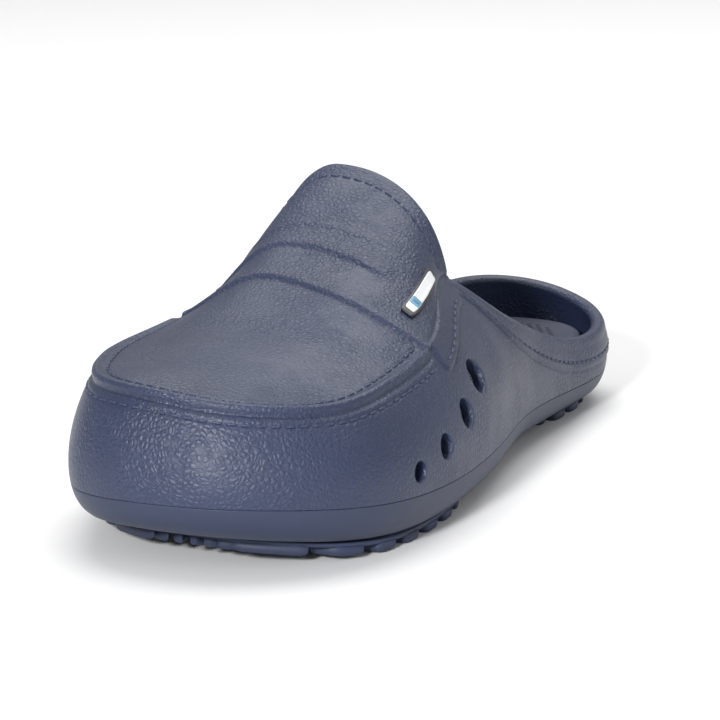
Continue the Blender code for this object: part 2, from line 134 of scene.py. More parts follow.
# ---- vents, from the rear one to the front one ----
VENT_DIAMETERS = [11.5 * MM, 9.5 * MM, 8.0 * MM, 6.5 * MM]
VENT_ALONG = [-0.106, -0.169, -0.236, -0.296]
VENT_HEIGHTS = [42.5 * MM, 35.0 * MM, 29.0 * MM, 25.0 * MM]
VENT_EDGE = 0.5 * MM
VENT_SEARCH = 20 * MM

# ---- fineness of the grids ----
FINE_ROW = 0.5 * MM
FINE_WALL_ROWS = 27
COARSE_WALL_ROWS = 36
FINE_VAMP_ROWS = 14
COARSE_VAMP_ROWS = 62
FRONT_COLUMNS = 130
TOE_COLUMNS = 200
REAR_COLUMNS = 110
HEEL_COLUMNS = 104
CURVE_PLACES = 100
LIP_RINGS = 8
EDGE_RINGS = 3
JOINT_EDGE = 0.25 * MM
JOINT_GAP = 0.06 * MM
SOLE_EDGE = 0.3 * MM
NORMAL_REACH = 5 * MM
SOLE_COLUMNS = 90
INSOLE_COLUMNS = 80
PLATE_SECTIONS = 60
MERGE_DISTANCE = 0.002 * MM

# ---- stitches: sides, thickness, and the profile from end to end as (place, thickness) ----
STITCH_SIDES = 8
STITCH_RADIUS = 0.42 * MM
STITCH_LIFT = 0.08 * MM
STITCH_PROFILE = (
    (-1, 0.25), (-0.93, 0.65), (-0.75, 0.95), (0, 1), (0.75, 0.95), (0.93, 0.65), (1, 0.25),
)

# ---- insole dots, tread lugs and the badge ----
DOT_PITCH = 3.4 * MM
DOT_RADIUS = 0.8 * MM
DOT_RISE = 0.5 * MM
# Profile of the insole's rim from its foot inwards: inset in mm, share of the thickness.
INSOLE_RIM = (
    (0.5, 0), (0, 0.15), (0, 0.6), (0.2, 0.82), (0.6, 0.96), (1.2, 1.05), (2, 1.14), (3, 1.17),
    (4.2, 1.12), (5.5, 1.04), (7, 1), (9, 1),
)
GROOVE_DEPTH = 2.8 * MM
LUG_SPACE = 3.0 * MM
LUG_SINK = 0.2 * MM
LUG_SQUARENESS = 0.35
BADGE_LENGTH = 28 * MM
BADGE_ALONG = -0.107
BADGE_RISE = (0.105, 0.195)
BADGE_TURN = -0.063
BADGE_THICKNESS = 1.2 * MM
BADGE_FACE_THICKNESS = 0.7 * MM
BADGE_RIM = 0.14
BADGE_RISE_LENGTH = 80 * MM
BADGE_STRAP_SHARE = 0.3
BADGE_PROFILE = ((0.4, 0), (0, 0.15), (0, 0.7), (0.12, 0.9), (0.4, 1), (1.2, 1), (2.2, 1))

# ---- finishes ----
DUST_COLOUR = (0.30, 0.31, 0.33, 1)
# Each foam: grains of the speckle per metre, roughness, depth of the fine relief, wear, dust.
FOAMS = {
    "moulded_upper": (1800.0, 0.37, 0.22 * MM, 0.25, 0.025),
    "moulded_sole": (1500.0, 0.50, 0.06 * MM, 0.25, 0.02),
    "moulded_insole": (2200.0, 0.70, 0.08 * MM, 0.3, 0.06),
    "moulded_tread": (1200.0, 0.60, 0.08 * MM, 0.5, 0.06),
}
# Roughness of each plastic of the badge.
PLASTICS = {"dark_plastic": 0.4, "pale_plastic": 0.28, "band_plastic": 0.3}
PLATE_COLOUR = (0.012, 0.013, 0.017)

# ---- stage ----
CAMERA_PLACE = (0.455, -0.923, 0.270)
CAMERA_AIM = (0.004, -0.018, 0.040)
CAMERA_LENS = 160
CAMERA_TURN = math.radians(-26)
FLOOR_REACH = 6
SWEEP_START = 1.6
SWEEP_RADIUS = 1.5
WORLD_STRENGTH = 0.40
# Each light: name, place, aim, size across, power.
LIGHTS = (
    ("key", (0.20, -1.50, 0.62), (0, -0.14, 0.035), 0.22, 24),
    ("back", (-0.25, 0.70, 1.90), (0, 0, 0), 2.2, 36),
    ("fill", (1.5, -0.5, 0.9), (0, 0, 0.05), 1.0, 3),
)

# Each station of the outline: across, along, rim inset, rim height, height of the widest line,
# inset of the foot edge, height of the joint between sole and upper.
STATIONS = [
    (0.000 * HEEL_WIDTH, 0.500, 3.0 * MM, HEEL_HEIGHT, 22 * MM, 18 * MM, 17 * MM),
    (0.32 * HEEL_WIDTH, 0.472, 3.0 * MM, HEEL_HEIGHT - 5 * MM, 20 * MM, 12 * MM, 15 * MM),
    (0.48 * HEEL_WIDTH, 0.400, 3.0 * MM, HEEL_HEIGHT - 8 * MM, 18 * MM, 7 * MM, 13 * MM),
    (0.52 * HEEL_WIDTH, 0.290, 3.0 * MM, HEEL_HEIGHT - 6.5 * MM, 18 * MM, 7 * MM, 13 * MM),
    (0.555 * HEEL_WIDTH, 0.158, 4.5 * MM, HEEL_HEIGHT + 4.5 * MM, 22 * MM, 7 * MM, 15 * MM),
    (0.385 * BALL_WIDTH, 0.068, 13.0 * MM, NOTCH_HEIGHT - 14 * MM, 25 * MM, 7 * MM, 16 * MM),
    (0.420 * BALL_WIDTH, 0.004, 23.0 * MM, NOTCH_HEIGHT - 3 * MM, 26 * MM, 7 * MM, 16 * MM),
    (0.479 * BALL_WIDTH, -0.124, 16.0 * MM, NOTCH_HEIGHT - 10 * MM, 26 * MM, 8 * MM, 16 * MM),
    (0.500 * BALL_WIDTH, -0.262, 12.5 * MM, TOE_HEIGHT - 2 * MM, 25 * MM, 9 * MM, 17 * MM),
    (0.449 * BALL_WIDTH, -0.372, 11.0 * MM, TOE_HEIGHT - 5 * MM, 25 * MM, 11 * MM, 19 * MM),
    (0.322 * BALL_WIDTH, -0.445, 9.5 * MM, TOE_HEIGHT - 4 * MM, 26 * MM, 13 * MM, 21 * MM),
    (0.153 * BALL_WIDTH, -0.488, 9.0 * MM, TOE_HEIGHT - 2 * MM, 27 * MM, 15 * MM, 22 * MM),
    (-0.051 * BALL_WIDTH, -0.500, 8.5 * MM, TOE_HEIGHT + 0.5 * MM, 27 * MM, 16 * MM, 22 * MM),
    (-0.254 * BALL_WIDTH, -0.476, 8.5 * MM, TOE_HEIGHT + 1 * MM, 27 * MM, 14 * MM, 21 * MM),
    (-0.420 * BALL_WIDTH, -0.372, 9.0 * MM, TOE_HEIGHT + 0.5 * MM, 25 * MM, 11 * MM, 19.5 * MM),
    (-0.500 * BALL_WIDTH, -0.276, 12.0 * MM, TOE_HEIGHT, 24 * MM, 9 * MM, 18.5 * MM),
    (-0.488 * BALL_WIDTH, -0.190, 13.0 * MM, TOE_HEIGHT + 2 * MM, 25 * MM, 8 * MM, 19 * MM),
    (-0.441 * BALL_WIDTH, -0.090, 12.0 * MM, NOTCH_HEIGHT - 5.5 * MM, 28 * MM, 7.5 * MM, 22 * MM),
    (-0.386 * BALL_WIDTH, 0.000, 9.5 * MM, NOTCH_HEIGHT + 1.5 * MM, 28 * MM, 7 * MM, 24 * MM),
    (-0.352 * BALL_WIDTH, 0.048, 7.5 * MM, NOTCH_HEIGHT - 12 * MM, 27 * MM, 7 * MM, 24.5 * MM),
    (-0.500 * HEEL_WIDTH, 0.155, 5.5 * MM, HEEL_HEIGHT + 2 * MM, 25 * MM, 7 * MM, 24 * MM),
    (-0.480 * HEEL_WIDTH, 0.276, 4.0 * MM, HEEL_HEIGHT, 22 * MM, 7 * MM, 20 * MM),
    (-0.453 * HEEL_WIDTH, 0.390, 3.5 * MM, HEEL_HEIGHT + 1.5 * MM, 20 * MM, 7 * MM, 18 * MM),
    (-0.311 * HEEL_WIDTH, 0.472, 3.0 * MM, HEEL_HEIGHT + 2 * MM, 21 * MM, 12 * MM, 17 * MM),
]

# Crest of the vamp: along, across, height.
CREST = [
    (-0.325, -4 * MM, TOE_HEIGHT + 5 * MM),
    (-0.270, -5 * MM, TOE_HEIGHT + 7.5 * MM),
    (-0.214, -8 * MM, TOE_HEIGHT + 11.5 * MM),
    (-0.158, -10.5 * MM, TONGUE_HEIGHT - 29.5 * MM),
    (-0.097, -13 * MM, TONGUE_HEIGHT - 21.5 * MM),
    (-0.022, -16 * MM, TONGUE_HEIGHT - 10 * MM),
    (0.042, -18 * MM, TONGUE_HEIGHT),
    (0.500, 0 * MM, TONGUE_HEIGHT),
]

# How steeply the vamp leaves its seam: along, angle in degrees.
VAMP_ANGLES = [(-0.325, 11), (-0.214, 24), (-0.158, 36), (-0.097, 52), (-0.035, 72), (0.004, 82)]

# Front edge of the strap across the instep: across, along.
STRAP_FRONT = [(-40, -50), (-22, -44), (-9, -44.5), (3, -48), (16, -52), (28, -54), (46, -53)]
# Second and third lines of the strap, behind its front edge.
STRAP_MIDDLE = [(-40, -32), (-20, -27.5), (-7, -28), (5, -31), (16, -34), (40, -36)]
STRAP_REAR = [(-40, -22), (-24, -18), (-16, -17), (-6, -17.5), (5, -19.8), (13, -21), (40, -24)]

STRAP_SEAM_Y = -52 * MM

# Tab of the strap below the seam, and the backstay.
TAB_FRONT = -50 * MM
TAB_LOW = 9.5 * MM
TAB_CORNER = 3.5 * MM
STAY_WIDTH = 11 * MM

# How far each line of stitches lies from its edge, and how deep its bed is.
VAMP_STITCH = 4.2 * MM
WALL_STITCH = 5.2 * MM
BAND_STITCH = 2.4 * MM
TONGUE_STITCH = 5.5 * MM
STITCH_BED = 0.28 * MM
STITCH_BED_WIDTH = 0.6 * MM

# Creases beside the moulded layers: the depth, and the widths of a layer's edge and of its crease.
LAYER_CREASE = 0.3 * MM
LAYER_EDGE = 0.8 * MM
LAYER_CREASE_WIDTH = 0.5 * MM


# ---------------------------------------------------------------- settings


class ClogShape(bpy.types.PropertyGroup):
    lip: FloatProperty(
        name="Lip", description="Height of the rounded rim of the collar and the tongue",
        default=1.5 * MM, min=0.5 * MM, max=2 * MM, unit="LENGTH")
    ridge_height: FloatProperty(
        name="Seam ridge", description="How far the ridge stands out along the vamp's seam",
        default=1.3 * MM, min=0, max=3 * MM, unit="LENGTH")
    strap_step: FloatProperty(
        name="Strap step", description="Height of the step at the strap's front edge",
        default=1.0 * MM, min=0, max=2 * MM, unit="LENGTH")
    band_width: FloatProperty(
        name="Collar band", description="Width of the raised band along the collar's rim",
        default=11.5 * MM, min=5 * MM, max=12.5 * MM, unit="LENGTH")
    band_step: FloatProperty(
        name="Band step", description="Height of the collar band over the side wall",
        default=0.55 * MM, min=0, max=2 * MM, unit="LENGTH")
    stitch_length: FloatProperty(
        name="Stitch length", description="Length of one moulded stitch",
        default=3.0 * MM, min=1 * MM, max=6 * MM, unit="LENGTH")
    stitch_gap: FloatProperty(
        name="Stitch gap", description="Space between two moulded stitches",
        default=1.3 * MM, min=0.5 * MM, max=4 * MM, unit="LENGTH")
    tread_columns: IntProperty(
        name="Tread columns", description="Lugs side by side across the forefoot tread",
        default=7, min=2, max=12)


class ClogFinish(bpy.types.PropertyGroup):
    upper_colour: FloatVectorProperty(
        name="Upper", description="Colour of the upper's foam", default=(0.021, 0.031, 0.072),
        subtype="COLOR", size=3, min=0, max=1)
    sole_colour: FloatVectorProperty(
        name="Sole", description="Colour of the sole's foam", default=(0.020, 0.029, 0.064),
        subtype="COLOR", size=3, min=0, max=1)
    insole_colour: FloatVectorProperty(
        name="Insole", description="Colour of the insole's foam", default=(0.026, 0.034, 0.064),
        subtype="COLOR", size=3, min=0, max=1)
    badge_colour: FloatVectorProperty(
        name="Badge face", description="Colour of the badge's face", default=(0.78, 0.79, 0.80),
        subtype="COLOR", size=3, min=0, max=1)
    band_colour: FloatVectorProperty(
        name="Badge band", description="Colour of the badge's band", default=(0.10, 0.28, 0.42),
        subtype="COLOR", size=3, min=0, max=1)
    grain_size: FloatProperty(
        name="Grain size", description="Typical width of one pebble of the upper's grain",
        default=1.7 * MM, min=0.3 * MM, max=5 * MM, unit="LENGTH")
    floor_colour: FloatVectorProperty(
        name="Floor", description="Colour of the studio floor", default=(0.86, 0.86, 0.86),
        subtype="COLOR", size=3, min=0, max=1)


# ---------------------------------------------------------------- curves and sections


def closed_curve(points):
    """Smooth closed curve through the points, as a table of close places along it."""
    points = np.array(points, float)
    count = len(points)
    step = np.linalg.norm(np.roll(points[:, :2], -1, 0) - points[:, :2], axis=1) ** KNOT_POWER
    system = np.zeros((count, count))
    right = np.zeros_like(points)
    for i in range(count):
        before, after = step[i - 1], step[i]
        system[i, i - 1] += before
        system[i, i] += 2 * (before + after)
        system[i, (i + 1) % count] += after
        rise_after = (points[(i + 1) % count] - points[i]) / after
        rise_before = (points[i] - points[i - 1]) / before
        right[i] = 6 * (rise_after - rise_before)
    bend = np.linalg.solve(system, right)
    places = []
    for i in range(count):
        following = (i + 1) % count
        b = np.linspace(0, 1, CURVE_PLACES, endpoint=False)[:, None]
        a = 1 - b
        bow = (a**3 - a) * bend[i] + (b**3 - b) * bend[following]
        places.append(a * points[i] + b * points[following] + bow * step[i] ** 2 / 6)
    return np.concatenate(places)


def smooth_through(table, at):
    """Values of a table of (place, value) on a smooth curve through its rows."""
    x, value = np.array(table, float).T
    slopes = np.gradient(value, x)
    at = np.clip(at, x[0], x[-1])
    i = np.clip(np.searchsorted(x, at) - 1, 0, len(x) - 2)
    width = x[i + 1] - x[i]
    t = (at - x[i]) / width
    from_low = (2 * t**3 - 3 * t**2 + 1) * value[i] + (t**3 - 2 * t**2 + t) * width * slopes[i]
    from_high = (3 * t**2 - 2 * t**3) * value[i + 1] + (t**3 - t**2) * width * slopes[i + 1]
    return from_low + from_high


def ease(t):
    t = np.clip(t, 0, 1)
    return t * t * (3 - 2 * t)


def unit(vectors):
    return vectors / np.maximum(np.linalg.norm(vectors, axis=-1, keepdims=True), 1e-12)


def crest_point(y):
    across = smooth_through([row[:2] for row in CREST], y / LENGTH)
    height = smooth_through([(row[0], row[2]) for row in CREST], y / LENGTH)
    return np.stack([across, y, height], -1)


def under_height(y):
    """Height of the sole's underside above the floor."""
    toe = np.maximum(0, TOE_SPRING_START * LENGTH - y) / (TOE_SPRING_RUN * LENGTH)
    heel = np.maximum(0, y - HEEL_SPRING_START * LENGTH) / (HEEL_SPRING_RUN * LENGTH)
    arch = np.sin(math.pi * np.clip((y / LENGTH - ARCH_START) / ARCH_RUN, 0, 1)) ** 2
    return TREAD_HEIGHT + TOE_SPRING * toe**2 + HEEL_SPRING * heel**2 + ARCH_RISE * arch


def bed_height(y):
    """Height of the top of the sole, under the insole."""
    rise = ease((y / LENGTH - BED_RISE_START) / BED_RISE_RUN)
    toe = np.maximum(0, BED_TOE_START * LENGTH - y) / (BED_TOE_RUN * LENGTH)
    return BED_FRONT + (BED_REAR - BED_FRONT) * rise + BED_TOE_RISE * toe**2


OUTLINE = closed_curve([(s[0], s[1] * LENGTH, *s[2:]) for s in STATIONS])


def side_rows(side, y):
    """Rows of the outline's table at places along: side 1 is the outer side, -1 the inner one."""
    toe = int(np.argmin(OUTLINE[:, 1]))
    half = OUTLINE[: toe + 1] if side > 0 else OUTLINE[toe:]
    half = half[np.argsort(half[:, 1])]
    return np.stack([np.interp(y, half[:, 1], column) for column in half.T], -1)


def fan_rows(centre_along, turn, count):
    """Rows spread evenly in angle round one end, from the outer side.

    The turn is -1 at the toe and 1 at the heel.
    """
    centre_y = centre_along * LENGTH
    beyond = OUTLINE[(OUTLINE[:, 1] - centre_y) * turn > 0]
    across = beyond[:, 0] - crest_point(np.array(centre_y))[0]
    angles = np.arctan2((beyond[:, 1] - centre_y) * turn, across)
    order = np.argsort(angles)
    steps = np.linspace(0, math.pi, count + 2)[1:-1]
    return np.stack([np.interp(steps, angles[order], column[order]) for column in beyond.T], -1)


class Ring:
    """Sections of the clog once round, as arrays with one row for each section."""

    def __init__(self, rows):
        self.out = rows[:, :2]
        self.rim_in, self.rim_z, self.wide_z, self.foot_in, self.joint_z = rows[:, 2:].T
        middle_y = np.clip(self.out[:, 1], TOE_CENTRE * LENGTH, HEEL_CENTRE * LENGTH)
        self.middle = crest_point(middle_y)[:, :2]
        self.inward = unit(self.middle - self.out)
        self.foot_z = under_height(self.out[:, 1] + self.inward[:, 1] * self.foot_in) + FOOT_LIP

    def at(self, inset, z):
        place = self.out[:, None] + self.inward[:, None] * inset[..., None]
        return np.concatenate([place, z[..., None]], -1)

    def low_wall(self, angle):
        """Rounded lower part of the wall: angle 0 at the foot edge, a right angle at the widest line."""
        inset = self.foot_in[:, None] * (1 - np.sin(angle) ** ROUNDNESS)
        drop = (self.wide_z - self.foot_z)[:, None] * np.maximum(np.cos(angle), 0) ** ROUNDNESS
        return self.at(inset, self.wide_z[:, None] - drop)

    def high_wall(self, t):
        """Upper part of the wall: 0 at the widest line, 1 at the rim or at the vamp's seam."""
        inset = self.rim_in[:, None] * t**WALL_LEAN
        return self.at(inset, self.wide_z[:, None] + (self.rim_z - self.wide_z)[:, None] * t)

    def angle_at(self, z):
        ratio = (self.wide_z - z) / (self.wide_z - self.foot_z)
        return np.arccos(np.clip(ratio, 0, 1) ** (1 / ROUNDNESS))

    def wall_line(self, low_angle):
        """Close points up each wall from an angle to the rim."""
        share = np.linspace(0, 1, 24)[None]
        low = self.low_wall(low_angle[:, None] + (math.pi / 2 - low_angle[:, None]) * share)
        high = self.high_wall(np.repeat(np.linspace(0, 1, 48)[None, 1:], len(self.out), 0))
        return np.concatenate([low, high], 1)

    def vamp_line(self):
        """Close points from each seam to the crest."""
        seam = self.high_wall(np.ones((len(self.out), 1)))[:, 0]
        y = self.middle[:, 1]
        start = TONGUE_SWEEP_START * LENGTH
        sweep = np.maximum(0, (y - start) / (NOTCH * LENGTH - start))
        crest = crest_point(y + (TONGUE_TIP - NOTCH) * LENGTH * sweep**2)
        reach = np.linalg.norm((crest - seam)[:, :2], axis=1)[:, None]
        angle = np.radians(smooth_through(VAMP_ANGLES, y / LENGTH))[:, None]
        rising = np.concatenate([self.inward * np.cos(angle), np.sin(angle)], 1)
        chord = np.sum(rising * (crest - seam), axis=1, keepdims=True)
        first = seam + rising * SEAM_FULLNESS * chord
        slope = (crest_point(y + MM)[:, 2] - crest_point(y)[:, 2]) / MM * self.inward[:, 1]
        last = crest - np.concatenate([self.inward, slope[:, None]], 1) * CREST_FULLNESS * reach
        r = np.linspace(0, 1, 60)[None, :, None]
        a = 1 - r
        return (
            a**3 * seam[:, None] + 3 * a * a * r * first[:, None]
            + 3 * a * r * r * last[:, None] + r**3 * crest[:, None]
        )


def lengths_along(lines):
    steps = np.linalg.norm(np.diff(lines, axis=1), axis=2)
    return np.concatenate([np.zeros((len(lines), 1)), np.cumsum(steps, axis=1)], axis=1)


def resampled(lines, wanted):
    """Points of each line at the wanted lengths along it."""
    along = lengths_along(lines)
    points = np.empty((*wanted.shape, 3))
    for i, line in enumerate(lines):
        for axis in range(3):
            points[i, :, axis] = np.interp(wanted[i], along[i], line[:, axis])
    return points


def graded(fine_count, coarse_count, total):
    """Lengths from 0 to each total: close rows first, then evenly spread ones."""
    fine = np.arange(fine_count) * FINE_ROW
    share = np.linspace(0, 1, coarse_count + 1)[1:]
    start = fine[-1]
    rest = start + (total[:, None] - start) * share
    return np.concatenate([np.repeat(fine[None], len(total), 0), rest], 1)


# ---------------------------------------------------------------- relief


def bump(d, centre, width):
    """Smooth hump of height 1 round a distance."""
    return np.exp(-(((d - centre) / width) ** 2))


def step(d, edge, width):
    """Smooth rise from 0 before an edge to 1 after it."""
    return ease((d - edge) / width + 0.5)


def band_width(shape, y):
    """Width of the collar band, which narrows towards the notch."""
    return shape.band_width * (0.55 + 0.45 * ease((y + 3 * MM) / (16 * MM)))


def seam_profile(shape, s):
    """Ridge and crease along the vamp's seam; s is the distance from it, above zero on the vamp."""
    ridge = bump(s, 0.7 * MM, 1.5 * MM)
    crease = 0.55 * bump(s, -2.1 * MM, 0.8 * MM)
    return shape.ridge_height * (ridge - crease)


def wall_relief(shape, places, down):
    """Height of the moulded relief on the wall; down is the length below the seam or rim."""
    x, y = places[..., 0], places[..., 1]
    fade = ease((STRAP_SEAM_Y - y) / (4 * MM))
    relief = fade * seam_profile(shape, -down)
    relief = relief - fade * STITCH_BED * bump(down, WALL_STITCH, STITCH_BED_WIDTH)

    # collar band behind the notch
    begin = ease((y + 7 * MM) / (8 * MM))
    width = band_width(shape, y)
    relief = relief + begin * (1 - step(down, width, 0.9 * MM)) * shape.band_step
    relief = relief - begin * LAYER_CREASE * bump(down, width + LAYER_EDGE, LAYER_CREASE_WIDTH)
    relief = relief - begin * STITCH_BED * bump(down, width - BAND_STITCH, STITCH_BED_WIDTH)
    relief = relief + begin * 0.35 * MM * bump(down, 2.5 * MM, 1.4 * MM)

    # strap tab below the seam, from the strap back to the collar band
    past = np.maximum(0, TAB_FRONT + TAB_CORNER - y)
    below = np.maximum(0, down - (TAB_LOW - TAB_CORNER))
    outside = np.hypot(past, below) - TAB_CORNER
    groove = LAYER_CREASE * bump(outside, LAYER_EDGE, LAYER_CREASE_WIDTH)
    tab = (1 - step(outside, 0, LAYER_EDGE)) * shape.band_step - groove
    relief = relief + np.where((y > TAB_FRONT - 4 * MM) & (y < 10 * MM), tab, 0) * (1 - begin)

    # backstay at the heel, below the band
    stay = (1 - step(np.abs(x), STAY_WIDTH / 2, LAYER_EDGE)) * (y > HEEL_CENTRE * LENGTH)
    return relief + stay * shape.band_step * step(down, width + 1.4 * MM, LAYER_EDGE)


def vamp_relief(shape, places, up, edge_gap):
    """Height of the relief on the vamp.

    The length above the seam is up, and edge_gap is the length before the tongue's edge.
    """
    x, y = places[..., 0], places[..., 1]
    behind = y - smooth_through(STRAP_FRONT, x / MM) * MM
    fade = ease(-behind / (4 * MM)) * ease((STRAP_SEAM_Y - y) / (4 * MM))
    bed = STITCH_BED * bump(up, VAMP_STITCH, STITCH_BED_WIDTH)
    relief = fade * seam_profile(shape, up) - fade * bed

    front_fade = 1 - 0.8 * ease(behind / (14 * MM))
    relief = relief + shape.strap_step * step(behind, 0, 0.9 * MM) * front_fade
    relief = relief - 0.25 * MM * bump(behind, -1.1 * MM, 0.7 * MM)
    past_middle = y - smooth_through(STRAP_MIDDLE, x / MM) * MM
    middle_end = ease((24 * MM - x) / (6 * MM))
    layer = 0.7 * shape.strap_step * step(past_middle, 0, 1.1 * MM)
    layer = layer * (1 - 0.85 * ease(past_middle / (9 * MM)))
    relief = relief + middle_end * (layer - 0.2 * MM * bump(past_middle, -1.1 * MM, 0.7 * MM))
    past_rear = y - smooth_through(STRAP_REAR, x / MM) * MM
    rear_end = ease((20 * MM - x) / (8 * MM))
    relief = relief + rear_end * 0.32 * MM * bump(past_rear, 0, 0.9 * MM)

    # crease just above the seam where the strap runs down to its tab
    tab = ease((y - STRAP_SEAM_Y) / (4 * MM))
    crease = 0.35 * MM * bump(up, 1.6 * MM, 0.6 * MM)
    relief = relief + tab * (shape.band_step * bump(up, 0, 1 * MM) - crease)

    # stitched band along the tongue's edge, with a fuller lip
    edge = ease((up - 1 * MM) / (4 * MM))
    relief = relief - edge * STITCH_BED * bump(edge_gap, TONGUE_STITCH, 0.7 * MM)
    return relief + 0.35 * MM * bump(edge_gap, 0, 2.2 * MM)


# ---------------------------------------------------------------- the upper's shell


def clog_rows(front_y, rear_y, toe_count, heel_count):
    """Outline rows once round: outer side to the toe, round it, back along the inner side, round the heel."""
    return np.concatenate([
        side_rows(1, rear_y[::-1]), side_rows(1, front_y[::-1]), fan_rows(TOE_CENTRE, -1, toe_count),
        side_rows(-1, front_y), side_rows(-1, rear_y), fan_rows(HEEL_CENTRE, 1, heel_count)[::-1],
    ])


def vertex_normals(points, quads):
    across = np.cross(points[quads[:, 2]] - points[quads[:, 0]], points[quads[:, 3]] - points[quads[:, 1]])
    total = np.zeros_like(points)
    for axis in range(3):
        for corner in range(4):
            total[:, axis] += np.bincount(quads[:, corner], across[:, axis], len(points))
    return unit(total)


